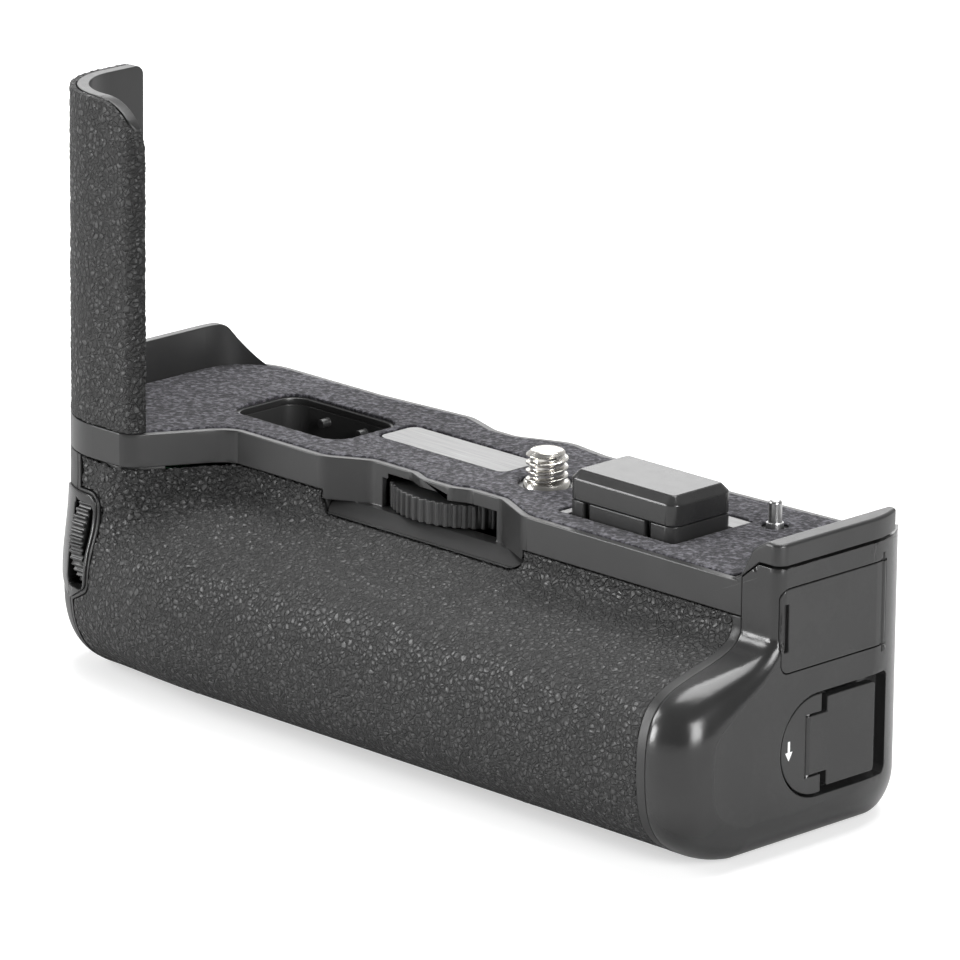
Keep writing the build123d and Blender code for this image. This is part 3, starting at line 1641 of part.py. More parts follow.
def end_cap():
    """The battery end's glossy cap."""
    solid = form(cap_seam_x, x_right, 0, cap_top_z)
    slope = [
        (cap_seam_x - overrun, cap_slope_low_z, 0),
        (cap_seam_x, cap_slope_low_z, 0),
        (cap_slope_x, cap_top_z, cap_slope_r),
        (x_right + overrun, cap_top_z, 0),
        (x_right + overrun, cap_top_z + overrun, 0),
        (cap_seam_x - overrun, cap_top_z + overrun, 0),
    ]
    solid -= prism_y(slope, y_front, y_back)
    recess_x = x_right - port_thickness
    port_corners = [
        (port_front_y, port_low_z, port_corner_r),
        (port_back_y + seam_gap, port_low_z, seam_gap),
        (port_back_y + seam_gap, port_top_z, seam_gap),
        (port_front_y, port_top_z, port_corner_r),
    ]
    solid -= prism_x(port_corners, recess_x - seam_gap, x_right + overrun)
    window_corners = [
        (port_window_front_y, port_low_z + port_ledge - fit_gap, port_window_r),
        (port_back_y - port_ledge, port_low_z + port_ledge - fit_gap, port_window_r),
        (port_back_y - port_ledge, port_top_z - port_ledge, port_window_r),
        (port_window_front_y, port_top_z - port_ledge, port_window_r),
    ]
    solid -= prism_x(window_corners, cap_seam_x, x_right)
    solid -= rod_z(
        port_low_z - port_pin_reach, port_top_z + port_pin_reach, port_hinge_x, port_hinge_y, port_pin_r)
    solid -= prism_x(latch_recess_face(0), latch_floor_x, x_right + overrun)
    solid -= rod_x(cap_seam_x, x_right, latch_y, latch_z, hook_shaft_r + shaft_gap)
    solid -= rod_x(cap_seam_x, cap_seam_x + hook_pocket_depth, latch_y, latch_z, hook_pocket_r)
    solid -= block(
        cap_seam_x, cap_seam_x + keeper_length + keeper_gap, -keeper_gap, keeper_back_y + keeper_gap,
        latch_z + hook_shaft_r, keeper_top_z + keeper_gap)
    return largest(solid)


def port_cover():
    """The hinged cover over the two jacks."""
    corners = [
        (port_front_y + seam_gap, port_low_z + seam_gap, port_corner_r - seam_gap),
        (port_hinge_y, port_low_z + seam_gap, 0),
        (port_hinge_y, port_top_z - seam_gap, 0),
        (port_front_y + seam_gap, port_top_z - seam_gap, port_corner_r - seam_gap),
    ]
    solid = prism_x(corners, x_right - port_thickness, x_right)
    solid &= form(cap_seam_x, x_right, 0, cap_top_z)
    solid -= block(
        x_right - finger_slot_depth, x_right, finger_slot_front_y, finger_slot_back_y,
        finger_slot_low_z, finger_slot_top_z)
    solid += rod_z(
        port_low_z + seam_gap, port_top_z - seam_gap, port_hinge_x, port_hinge_y, port_thickness / 2)
    return solid - rod_z(port_low_z, port_top_z, port_hinge_x, port_hinge_y, port_pin_r + shaft_gap)


def port_hinge_pin():
    """The hinge pin of the port cover."""
    return rod_z(
        port_low_z - port_pin_reach, port_top_z + port_pin_reach, port_hinge_x, port_hinge_y, port_pin_r)


def latch_disc():
    """The latch's turning disc with its raised part, its shaft and its hook."""
    solid = rod_x(disc_plate_x, disc_face_x, latch_y, latch_z, latch_r - disc_gap)
    raised = rod_x(disc_plate_x, latch_face_x, latch_y, latch_z, latch_r - disc_gap)
    raised -= block(
        disc_face_x, x_right + overrun, ear_right_y, latch_y + latch_r, latch_z - latch_r, latch_z + latch_r)
    raised -= block(
        disc_face_x, x_right, knuckle_pocket_left_y, latch_y + latch_r,
        latch_z - flap_knuckle_half - ear_gap, latch_z + flap_knuckle_half + ear_gap)
    solid += raised
    solid -= rod_z(latch_z - latch_r, latch_z + latch_r, flap_hinge_x, flap_pin_y, flap_pin_r)
    solid += rod_x(hook_x, disc_plate_x + fit_gap, latch_y, latch_z, hook_shaft_r)
    solid += block(
        hook_x, hook_x + hook_thickness, latch_y - hook_width / 2, latch_y + hook_width / 2, latch_z,
        hook_top_z)
    return largest(solid)


def latch_flap():
    """The fold-out flap that turns the latch."""
    main = [
        (flap_left_y, latch_z - flap_half_height, flap_corner_r / 2),
        (flap_right_y, latch_z - flap_half_height, flap_corner_r),
        (flap_right_y, latch_z + flap_half_height, flap_corner_r),
        (flap_left_y, latch_z + flap_half_height, flap_corner_r / 2),
    ]
    solid = prism_x(main, flap_low_x, latch_face_x)
    solid += block(
        flap_low_x, latch_face_x, flap_pin_y, flap_left_y + overrun, latch_z - flap_knuckle_half,
        latch_z + flap_knuckle_half)
    solid += rod_z(
        latch_z - flap_knuckle_half, latch_z + flap_knuckle_half, flap_hinge_x, flap_pin_y,
        flap_thickness / 2)
    return solid - rod_z(
        latch_z - latch_r, latch_z + latch_r, flap_hinge_x, flap_pin_y, flap_pin_r + shaft_gap)


def flap_pin():
    """The hinge pin of the flap, held in the disc."""
    reach = sqrt((latch_r - disc_gap) ** 2 - (flap_pin_y - latch_y) ** 2) - 2 * fit_gap
    return rod_z(latch_z - reach, latch_z + reach, flap_hinge_x, flap_pin_y, flap_pin_r)


def latch_keeper():
    """The fixed nose the latch hook turns behind."""
    return block(
        case_right_x, cap_seam_x + keeper_length, 0, keeper_back_y, keeper_low_z, keeper_top_z)


def tripod_socket():
    """The threaded socket in the base."""
    return (
        rod_z(0, bay_floor_z, socket_x, socket_y, socket_outer_r)
        - rod_z(0, bay_floor_z, socket_x, socket_y, socket_r))


def base_screws():
    """The cross-slotted screws in the base."""
    solids = []
    for x, y in base_screw_places():
        head = rod_z(fit_gap, base_screw_depth, x, y, base_screw_r - shaft_gap)
        reach = base_screw_r / 2
        head -= block(x - reach, x + reach, y - cross_width / 2, y + cross_width / 2, 0, base_screw_depth / 2)
        head -= block(x - cross_width / 2, x + cross_width / 2, y - reach, y + reach, 0, base_screw_depth / 2)
        solids.append(head + rod_z(base_screw_depth / 2, bay_floor_z / 2, x, y, base_shank_r))
    return Compound(children=solids)


# Hinge lines of the port cover and of the flap
port_hinge_x = x_right - port_thickness / 2
port_hinge_y = port_back_y - port_thickness / 2
flap_hinge_x = latch_face_x - flap_thickness / 2

pieces = {
    "main_case": main_case,
    "grip_skin": grip_skin,
    "rear_pad": rear_pad,
    "end_cover": end_cover,
    "dial_bezel": dial_bezel,
    "top_cover": top_cover,
    "felt_pad": felt_pad,
    "fin_shell": fin_shell,
    "fin_skin": fin_skin,
    "well_liner": well_liner,
    "label_plate": label_plate,
    "connector_mat": connector_mat,
    "connector_base": connector_base,
    "connector_plug": connector_plug,
    "connector_cap": connector_cap,
    "locating_pin": locating_pin,
    "mounting_screw": mounting_screw,
    "mounting_wheel": mounting_wheel,
    "wheel_axle": wheel_axle,
    "screw_retainer": screw_retainer,
    "retainer_screws": retainer_screws,
    "circuit_board": circuit_board,
    "control_board": control_board,
    "rear_board": rear_board,
    "dial_encoders": dial_encoders,
    "front_dial": lambda: dial(front_dial_y, front_dial_z, dial_r, dial_ribs),
    "rear_dial": lambda: dial(rear_dial_y, rear_dial_z, rear_dial_r, rear_dial_ribs),
    "shutter_button": shutter_button,
    "shutter_spring": shutter_spring,
    "shutter_switch": shutter_switch,
    "lock_lever": lock_lever,
    "function_button": function_button,
    "button_domes": button_domes,
    "rear_panel": rear_panel,
    "ae_button": lambda: rear_button("ae_button"),
    "af_button": lambda: rear_button("af_button"),
    "q_button": lambda: rear_button("q_button"),
    "gimbal_base": gimbal_base,
    "focus_rocker": focus_rocker,
    "focus_lever": focus_lever,
    "indicator_lamp": indicator_lamp,
    "contact_block": contact_block,
    "power_jack": power_jack,
    "headphone_jack": headphone_jack,
    "tray_frame": tray_frame,
    "battery_1": lambda: battery(0),
    "battery_2": lambda: battery(1),
    "tray_contacts": tray_contacts,
    "end_cap": end_cap,
    "port_cover": port_cover,
    "port_hinge_pin": port_hinge_pin,
    "latch_disc": latch_disc,
    "latch_flap": latch_flap,
    "flap_pin": flap_pin,
    "latch_keeper": latch_keeper,
    "tripod_socket": tripod_socket,
    "base_screws": base_screws,
}

os.makedirs("parts", exist_ok=True)
for name, make in pieces.items():
    export_step(make(), f"parts/{name}.step")
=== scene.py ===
import bpy
import bmesh
from math import cos, pi, radians, sin
from mathutils import Matrix, Vector, noise


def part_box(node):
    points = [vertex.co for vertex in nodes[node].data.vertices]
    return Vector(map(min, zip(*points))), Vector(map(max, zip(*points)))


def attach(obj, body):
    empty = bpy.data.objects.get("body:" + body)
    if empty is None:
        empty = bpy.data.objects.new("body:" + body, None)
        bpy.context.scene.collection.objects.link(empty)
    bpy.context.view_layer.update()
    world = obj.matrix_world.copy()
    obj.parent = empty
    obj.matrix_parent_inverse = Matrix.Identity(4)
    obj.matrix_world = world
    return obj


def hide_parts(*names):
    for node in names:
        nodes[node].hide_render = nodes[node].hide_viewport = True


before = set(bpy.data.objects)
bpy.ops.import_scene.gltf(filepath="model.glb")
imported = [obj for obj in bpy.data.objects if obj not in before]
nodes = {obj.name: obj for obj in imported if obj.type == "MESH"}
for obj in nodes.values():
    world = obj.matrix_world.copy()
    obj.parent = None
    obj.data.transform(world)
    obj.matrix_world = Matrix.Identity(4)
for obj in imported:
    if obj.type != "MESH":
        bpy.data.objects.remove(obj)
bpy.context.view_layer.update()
scene = bpy.context.scene
MM = 0.001


def grey(value):
    """A neutral colour."""
    return (value, value, value, 1.0)


# Camera: direction, aim and distance
camera_azimuth = radians(44.88)
camera_elevation = radians(16.64)
camera_roll = radians(0.58)
camera_aim = Vector((-3.392, 7.611, 37.012)) * MM
camera_distance = 1178.4 * MM
camera_near = 10 * MM
camera_far = 100
sensor_width = 36.0
lens_length = 300.06

# Floor: reach, paint and the glow that shows it white
floor_reach = 6.0
floor_drop = 0.02 * MM
floor_tone = 0.62
floor_glow = 0.52
white = grey(1.0)

# Room light: dim on the camera's side and bright low behind the grip
bright_way = (-0.68, 0.69, 0.24)
room_stops = ((0.0, 0.10), (0.5, 0.2), (0.78, 0.5), (1.0, 1.0))
room_strength = 0.75
backdrop_strength = 1.0

# Soft boxes: name, place, aim, width, height and power
soft_boxes = (
    ("top_softbox", (-0.1, 0.3, 1.1), (0, 0, 0.03), 0.9, 0.7, 15),
    ("left_softbox", (-1.05, -0.75, 0.7), (0, 0, 0.04), 0.5, 0.6, 11),
    ("low_strip", (-0.8, -1.2, 0.25), (0.03, 0, 0.03), 0.25, 0.5, 10),
    ("right_softbox", (1.2, -0.3, 0.45), (0.05, 0, 0.03), 0.5, 0.8, 17),
    ("back_softbox", (-1.2, 1.2, 0.55), (0, 0, 0.04), 1.2, 0.5, 4),
)

# Moulded and metal surfaces: tone, roughness, grains per millimetre and grain height
plain_surfaces = {
    "case_plastic": (grey(0.016), 0.42, 7.0, 0.02),
    "cover_plastic": (grey(0.022), 0.32, 9.0, 0.012),
    "cap_plastic": (grey(0.02), 0.22, 10.0, 0.004),
    "steel": (grey(0.55), 0.3, 5.0, 0.004),
    "nickel": ((0.72, 0.7, 0.66, 1), 0.22, 4.0, 0.004),
    "black_steel": (grey(0.035), 0.35, 5.0, 0.004),
    "brass": ((0.75, 0.52, 0.22, 1), 0.28, 4.0, 0.004),
    "inner_plastic": (grey(0.03), 0.38, 8.0, 0.015),
    "battery_case": (grey(0.03), 0.48, 6.0, 0.02),
    "button_plastic": (grey(0.01), 0.32, 9.0, 0.01),
    "lamp": ((0.35, 0.02, 0.02, 1), 0.15, 6.0, 0.003),
    "print_white": (grey(0.75), 0.5, 8.0, 0.004),
}
metals = {"steel", "nickel", "black_steel", "brass"}
lacquered = {"lamp"}
lacquer_weight = 0.5
lacquer_roughness = 0.12
plain_specular = 0.5
cloud_scale = 0.12
cloud_share = 0.12
smear_scale = 0.5
smear_share = 0.15
ramp_low = 0.3
ramp_high = 0.7

# Leather surface: creases darkened by painted shade, shinier tops, fine pores and specks of dust
# The crease tone is painted shade: the colour laid into the grain's grooves, darker than the top tone
crease_shade_tone = 0.009
top_tone = 0.042
crease_roughness = 0.62
top_roughness = 0.33
drift_scale = 0.5
drift_reach = 0.9
crease_scale = 1.15
crease_width = 0.2
crease_depth = 0.17 * MM
pore_scale = 4.5
pore_strength = 0.6
pore_depth = 0.05 * MM
dust_scale = 0.22
dust_outer = 0.045
dust_inner = 0.03
dust_weight = 0.5
dust_tone = 0.3

# Leather grain in the mesh, from a fixed seed
grain_seed = 1
grain_voxel = 0.24 * MM
grain_soften_turns = 3
pebble_size = 1.2
pebble_depth = 0.13
pebble_warp_scale = 0.6
pebble_warp_reach = 0.35
pebble_edge = 0.38
pebble_uneven = 0.2
pebble_seed_scale = 7.0
wrinkle_size = 2.6
wrinkle_depth = 0.06
bend_low_z = 16.0
bend_high_z = 28.0
bend_full_x = -42.0
bend_end_x = -8.0
bend_extra = 1.8

# Felt: nap in the mesh, mottled flock and fibre tips lightened by a painted highlight
felt_voxel = 0.4 * MM
felt_soften_turns = 1
felt_nap = 0.05
nap_scale = 1.7
fine_nap_scale = 4.3
fine_nap_share = 0.6
fibre_scale = 1.5
fibre_depth = 0.2 * MM
mottle_scale = 0.7
felt_low_tone = (0.016, 0.0155, 0.0185, 1)
felt_high_tone = (0.034, 0.033, 0.038, 1)
# The tip tone is a painted highlight on the fibre tips
tip_highlight_tone = (0.12, 0.117, 0.132, 1)
tip_low = 0.46
tip_high = 0.66
felt_roughness = 0.95
felt_sheen = 0.1
felt_sheen_roughness = 0.5
felt_specular = 0.15

# Circuit board
board_tones = ((0.01, 0.07, 0.03, 1), (0.012, 0.055, 0.028, 1))
run_tone = (0.03, 0.16, 0.06, 1)
run_scale = 0.6
run_width = 0.03
run_strength = 0.4
run_depth = 0.03 * MM
board_smear_scale = 0.7
board_roughness = (0.3, 0.45)
board_lacquer = 0.3

# Silver foil
foil_stretch = (0.15, 6.0, 1.0)
foil_low_tone = 0.25
foil_high_tone = 0.36
foil_metallic = 0.3
foil_roughness = (0.5, 0.65)

# Mounting screw: gear, collar and cut thread
thread_pitch = 1.27
thread_depth = 0.62
thread_root_share = 0.3
thread_flank_share = 0.85
thread_rows = 84
screw_segments = 72
screw_crest_r = 3.15
screw_tip_length = 0.8
screw_gear_thickness = 1.1
screw_collar_r = 3.4
screw_collar_top = 39.9
screw_joint_depth = 0.3
screw_cap_shares = (0.75, 0.4)
screw_sharp_angle = radians(40)
screw_weld = 0.0005 * MM

# Printed arrow on the latch disc, pointing down
arrow_y = -3.9
arrow_low_z = 14.0
arrow_neck_z = 15.3
arrow_top_z = 16.9
arrow_width = 0.45
arrow_head = 1.5
print_rise = 0.005 * MM

# Edge rounding of moulded and metal pieces
edge_round = 0.14 * MM
small_edge_round = 0.07 * MM
edge_segments = 2
edge_angle = radians(38)
weld_reach = 0.015 * MM
flat_angle = radians(0.15)
even_weight = 50
remesh_soften = 0.5
blackened = {"port_hinge_pin"}
sharp_nodes = {"shutter_spring", "connector_mat", "label_plate"}
fine_nodes = {
    "button_domes", "flap_pin", "port_hinge_pin", "focus_rocker", "gimbal_base",
    "retainer_screws", "indicator_lamp", "end_cap",
}


def make_camera():
    """The camera at the photograph's angle."""
    data = bpy.data.cameras.new("camera")
    data.sensor_width = sensor_width
    data.lens = lens_length
    data.clip_start = camera_near
    data.clip_end = camera_far
    made = bpy.data.objects.new("camera", data)
    scene.collection.objects.link(made)
    back = Vector((
        sin(camera_azimuth) * cos(camera_elevation),
        -cos(camera_azimuth) * cos(camera_elevation),
        sin(camera_elevation)))
    level_right = Vector((cos(camera_azimuth), sin(camera_azimuth), 0))
    level_up = back.cross(level_right)
    right = level_right * cos(camera_roll) + level_up * sin(camera_roll)
    up = level_up * cos(camera_roll) - level_right * sin(camera_roll)
    place = camera_aim + back * camera_distance
    made.matrix_world = Matrix((
        (right.x, up.x, back.x, place.x),
        (right.y, up.y, back.y, place.y),
        (right.z, up.z, back.z, place.z),
        (0, 0, 0, 1)))
    scene.camera = made


make_camera()
scene.view_settings.view_transform = "Standard"


def add(tree, kind, inputs=None, **settings):
    """A shader node with its settings and inputs; a socket as an input is linked."""
    made = tree.nodes.new(kind)
    for key, value in settings.items():
        setattr(made, key, value)
    for key, value in (inputs or {}).items():
        if isinstance(value, bpy.types.NodeSocket):
            tree.links.new(value, made.inputs[key])
        else:
            made.inputs[key].default_value = value
    return made


def area_light(name, place, target, width, height, power):
    """A soft rectangular light aimed at a point."""
    data = bpy.data.lights.new(name, "AREA")
    data.shape = "RECTANGLE"
    data.size = width
    data.size_y = height
    data.energy = power
    made = bpy.data.objects.new(name, data)
    made.location = place
    made.rotation_mode = "QUATERNION"
    made.rotation_quaternion = (Vector(place) - Vector(target)).to_track_quat("Z", "Y")
    scene.collection.objects.link(made)


def make_world():
    """White for the camera, a dimmer soft room for light and reflections."""
    world = bpy.data.worlds.new("studio")
    scene.world = world
    world.use_nodes = True
    tree = world.node_tree
    tree.nodes.clear()
    path = add(tree, "ShaderNodeLightPath")
    coordinate = add(tree, "ShaderNodeTexCoord")
    facing = add(tree, "ShaderNodeVectorMath", {0: coordinate.outputs["Generated"], 1: bright_way},
                 operation="DOT_PRODUCT").outputs["Value"]
    share = add(tree, "ShaderNodeMapRange", {0: facing, 1: -1.0, 2: 1.0, 3: 0.0, 4: 1.0}).outputs[0]
    ramp = add(tree, "ShaderNodeValToRGB", {0: share})
    stops = ramp.color_ramp.elements
    for middle in room_stops[1:-1]:
        stops.new(middle[0])
    for stop, (position, value) in zip(stops, room_stops):
        stop.position = position
        stop.color = grey(value)
    room = add(tree, "ShaderNodeBackground", {"Color": ramp.outputs["Color"], "Strength": room_strength})
    plain = add(tree, "ShaderNodeBackground", {"Color": white, "Strength": backdrop_strength})
    mix = add(tree, "ShaderNodeMixShader", {
        0: path.outputs["Is Camera Ray"], 1: room.outputs[0], 2: plain.outputs[0]})
    add(tree, "ShaderNodeOutputWorld", {"Surface": mix.outputs[0]})


def make_floor():
    """A plain pale floor that shows white and keeps the shadow."""
    mesh = bpy.data.meshes.new("floor")
    corners = ((-1, -1), (1, -1), (1, 1), (-1, 1))
    places = [(x * floor_reach, y * floor_reach, -floor_drop) for x, y in corners]
    mesh.from_pydata(places, [], [range(len(places))])
    made = bpy.data.objects.new("floor", mesh)
    scene.collection.objects.link(made)
    surface = bpy.data.materials.new("floor_paint")
    surface.use_nodes = True
    tree = surface.node_tree
    tree.nodes.clear()
    path = add(tree, "ShaderNodeLightPath")
    paint = add(tree, "ShaderNodeBsdfDiffuse", {"Color": grey(floor_tone)})
    glow = add(tree, "ShaderNodeEmission", {"Color": white, "Strength": floor_glow})
    lit = add(tree, "ShaderNodeAddShader", {0: paint.outputs[0], 1: glow.outputs[0]})
    mix = add(tree, "ShaderNodeMixShader", {
        0: path.outputs["Is Camera Ray"], 1: paint.outputs[0], 2: lit.outputs[0]})
    add(tree, "ShaderNodeOutputMaterial", {"Surface": mix.outputs[0]})
    mesh.materials.append(surface)


make_world()
make_floor()
for soft_box in soft_boxes:
    area_light(*soft_box)


def start_material(name):
    """An empty material, its tree and object coordinates in millimetres."""
    made = bpy.data.materials.new(name)
    made.use_nodes = True
    tree = made.node_tree
    tree.nodes.clear()
    coordinate = add(tree, "ShaderNodeTexCoord")
    scaled = add(tree, "ShaderNodeVectorMath", {0: coordinate.outputs["Object"], 1: (1 / MM,) * 3},
                 operation="MULTIPLY")
    return made, tree, scaled.outputs[0]


def finish_material(made, tree, inputs):
    """Closes a material with its surface."""
    shader = add(tree, "ShaderNodeBsdfPrincipled", inputs)
    add(tree, "ShaderNodeOutputMaterial", {"Surface": shader.outputs[0]})
    return made


def spread(tree, value, low, high):
    """Maps a value from 0-1 to low-high."""
    return add(tree, "ShaderNodeMapRange", {0: value, 3: low, 4: high}).outputs[0]


def fine_noise(tree, place, scale, detail=3.0):
    """Noise with features 1/scale millimetres apart."""
    return add(tree, "ShaderNodeTexNoise", {"Vector": place, "Scale": scale, "Detail": detail}).outputs[0]


def tone_ramp(tree, value, low, high):
    """A colour between two colours."""
    made = add(tree, "ShaderNodeValToRGB", {0: value})
    first, last = made.color_ramp.elements
    first.position = ramp_low
    first.color = low
    last.position = ramp_high
    last.color = high
    return made.outputs[0]


def toned(tone, factor):
    """A colour made darker or lighter."""
    return tuple(part * factor for part in tone[:3]) + (1.0,)


def moulded(name):
    """Moulded plastic or plain metal: a fine surface grain, cloudy colour and uneven polish."""
    tone, roughness, grain_scale, grain_rise = plain_surfaces[name]
    made, tree, place = start_material(name)
    clouds = fine_noise(tree, place, cloud_scale)
    grain = fine_noise(tree, place, grain_scale, detail=2.0)
    smears = fine_noise(tree, place, smear_scale, detail=4.0)
    bump = add(tree, "ShaderNodeBump", {"Height": grain, "Strength": 1.0, "Distance": grain_rise * MM})
    return finish_material(made, tree, {
        "Base Color": tone_ramp(tree, clouds, toned(tone, 1 - cloud_share), toned(tone, 1 + cloud_share)),
        "Roughness": spread(tree, smears, roughness * (1 - smear_share), roughness * (1 + smear_share)),
        "Metallic": 1.0 if name in metals else 0.0,
        "Coat Weight": lacquer_weight if name in lacquered else 0.0,
        "Coat Roughness": lacquer_roughness,
        "Specular IOR Level": plain_specular,
        "Normal": bump.outputs[0],
    })


def leather_material(name):
    """Pebbled black rubber: dull creases darkened by painted shade, shinier tops and a few specks of dust.
    """
    made, tree, place = start_material(name)
    height = add(tree, "ShaderNodeAttribute", attribute_name="grain").outputs["Fac"]
    drift = add(tree, "ShaderNodeTexNoise", {"Vector": place, "Scale": drift_scale, "Detail": 2.0})
    moved = add(tree, "ShaderNodeVectorMath", {0: drift.outputs["Color"], 1: (drift_reach,) * 3, 2: place},
                operation="MULTIPLY_ADD")
    cells = add(tree, "ShaderNodeTexVoronoi", {"Vector": moved.outputs[0], "Scale": crease_scale},
                feature="DISTANCE_TO_EDGE").outputs["Distance"]
    pebble = add(tree, "ShaderNodeMapRange", {0: cells, 1: 0.0, 2: crease_width, 3: 0.0, 4: 1.0},
                 interpolation_type="SMOOTHSTEP").outputs[0]
    pores = fine_noise(tree, place, pore_scale, detail=4.0)
    # Painted shade: the base colour runs from the dark crease tone in the grooves to the lighter top tone
    # on the pebbles
    both = add(tree, "ShaderNodeMath", {0: height, 1: pebble}, operation="MULTIPLY").outputs[0]
    crease_shaded_base = tone_ramp(tree, both, grey(crease_shade_tone), grey(top_tone))
    dots = add(tree, "ShaderNodeTexVoronoi", {"Vector": place, "Scale": dust_scale}, feature="F1")
    dust = add(tree, "ShaderNodeMapRange", {
        0: dots.outputs["Distance"], 1: dust_outer, 2: dust_inner, 3: 0.0, 4: dust_weight}).outputs[0]
    tinted = add(tree, "ShaderNodeMix", {0: dust, 6: crease_shaded_base, 7: grey(dust_tone)}, data_type="RGBA")
    fine = add(tree, "ShaderNodeBump", {"Height": pores, "Strength": pore_strength, "Distance": pore_depth})
    bump = add(tree, "ShaderNodeBump", {
        "Height": pebble, "Strength": 1.0, "Distance": crease_depth, "Normal": fine.outputs[0]})
    return finish_material(made, tree, {
        "Base Color": tinted.outputs[2],
        "Roughness": spread(tree, both, crease_roughness, top_roughness),
        "Specular IOR Level": plain_specular,
        "Normal": bump.outputs[0],
    })


def felt_material(name):
    """Dark flock with a violet cast, a mottled nap and fibre tips lightened by a painted highlight."""
    made, tree, place = start_material(name)
    fibre = fine_noise(tree, place, fibre_scale, detail=6.0)
    mottle = fine_noise(tree, place, mottle_scale, detail=4.0)
    tone = tone_ramp(tree, mottle, felt_low_tone, felt_high_tone)
    # Painted highlight: the colour lightens where the fibre noise, the bump's height, is high
    tip_highlight = add(tree, "ShaderNodeMapRange", {0: fibre, 1: tip_low, 2: tip_high, 3: 0.0, 4: 1.0}).outputs[0]
    tip_highlighted = add(tree, "ShaderNodeMix", {0: tip_highlight, 6: tone, 7: tip_highlight_tone}, data_type="RGBA")
    bump = add(tree, "ShaderNodeBump", {"Height": fibre, "Strength": 1.0, "Distance": fibre_depth})
    return finish_material(made, tree, {
        "Base Color": tip_highlighted.outputs[2],
        "Roughness": felt_roughness,
        "Sheen Weight": felt_sheen,
        "Sheen Roughness": felt_sheen_roughness,
        "Specular IOR Level": felt_specular,
        "Normal": bump.outputs[0],
    })


def board_material(name):
    """Green circuit board with a pattern of copper runs under the lacquer."""
    made, tree, place = start_material(name)
    runs = add(tree, "ShaderNodeTexBrick", {
        "Vector": place, "Color1": board_tones[0], "Color2": board_tones[1],
        "Mortar": run_tone, "Scale": run_scale, "Mortar Size": run_width})
    bump = add(tree, "ShaderNodeBump", {
        "Height": runs.outputs[1], "Strength": run_strength, "Distance": run_depth})
    return finish_material(made, tree, {
        "Base Color": runs.outputs[0],
        "Roughness": spread(tree, fine_noise(tree, place, board_smear_scale), *board_roughness),
        "Coat Weight": board_lacquer,
        "Normal": bump.outputs[0],
    })


def label_material(name):
    """Silver foil, left bare: a faint brushing and a slightly cloudy gloss."""
    made, tree, place = start_material(name)
    stretched = add(tree, "ShaderNodeVectorMath", {0: place, 1: foil_stretch}, operation="MULTIPLY")
    brushing = fine_noise(tree, stretched.outputs[0], 1.0)
    return finish_material(made, tree, {
        "Base Color": tone_ramp(tree, brushing, grey(foil_low_tone), grey(foil_high_tone)),
        "Metallic": foil_metallic,
        "Roughness": spread(tree, brushing, *foil_roughness),
    })


surfaces = {name: moulded(name) for name in plain_surfaces}
surfaces["grip_rubber"] = leather_material("grip_rubber")
surfaces["felt"] = felt_material("felt")
surfaces["label_metal"] = label_material("label_metal")
surfaces["board"] = board_material("board")


def node_slots():
    """The material slot of each node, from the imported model."""
    found = {}
    for name, part in nodes.items():
        names = [made.name for made in part.data.materials if made]
        found[name] = names[0].split(".")[0]
    return found


slot_of = node_slots()


def dress(name, part):
    """Gives a CAD node its material and softly rounded edges."""
    part.data.materials.clear()
    part.data.materials.append(surfaces["black_steel" if name in blackened else slot_of[name]])
    if name in sharp_nodes:
        return
    weld = part.modifiers.new("weld", "WELD")
    weld.merge_threshold = weld_reach
    flat = part.modifiers.new("flat", "DECIMATE")
    flat.decimate_type = "DISSOLVE"
    flat.angle_limit = flat_angle
    bevel = part.modifiers.new("bevel", "BEVEL")
    bevel.width = small_edge_round if name in fine_nodes else edge_round
    bevel.segments = edge_segments
    bevel.limit_method = "ANGLE"
    bevel.angle_limit = edge_angle
    bevel.use_clamp_overlap = False
    even = part.modifiers.new("even", "WEIGHTED_NORMAL")
    even.mode = "FACE_AREA"
    even.weight = even_weight
    even.keep_sharp = True


for name, part in nodes.items():
    dress(name, part)


def mesh_piece(name, mesh, body, slot, replaced=()):
    """A new piece from a finished mesh, riding on a body."""
    made = bpy.data.objects.new(name, mesh)
    scene.collection.objects.link(made)
    mesh.materials.clear()
    mesh.materials.append(surfaces[slot])
    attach(made, body)
    if replaced:
        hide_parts(*replaced)


def fine_mesh(source, voxel, turns):
    """An even, fine copy of a node's closed mesh with softened edges."""
    mesh = source.data.copy()
    working = bpy.data.objects.new("working", mesh)
    scene.collection.objects.link(working)
    remesh = working.modifiers.new("even", "REMESH")
    remesh.mode = "VOXEL"
    remesh.voxel_size = voxel
    soften = working.modifiers.new("soften", "SMOOTH")
    soften.factor = remesh_soften
    soften.iterations = turns
    graph = bpy.context.evaluated_depsgraph_get()
    made = bpy.data.meshes.new_from_object(working.evaluated_get(graph))
    bpy.data.objects.remove(working)
    bpy.data.meshes.remove(mesh)
    made.shade_smooth()
    return made


def raise_mesh(mesh, rise_at):
    """Moves each vertex along its normal by the rise in millimetres at its place."""
    moved = []
    for vertex in mesh.vertices:
        moved.append(vertex.co + vertex.normal * rise_at(vertex.co / MM) * MM)
    for vertex, place in zip(mesh.vertices, moved):
        vertex.co = place


def ease(value, low, high):
    """A smooth step from 0 at low to 1 at high."""
    t = min(1.0, max(0.0, (value - low) / (high - low)))
    return t * t * (3 - 2 * t)


def grain_height(place):
    """Height of the pebbled grain at a place in millimetres, from 0 in a groove to 1 on a top."""
    warp = noise.noise_vector(place * pebble_warp_scale) * pebble_warp_reach
    distances, centres = noise.voronoi((place + warp) / pebble_size)
    edge = distances[1] - distances[0]
    top = 1 - pebble_uneven + pebble_uneven * noise.cell(centres[0] * pebble_seed_scale)
    return ease(edge, 0.0, pebble_edge) * top


def even_depth(place):
    """The grain's full depth everywhere."""
    return 1.0


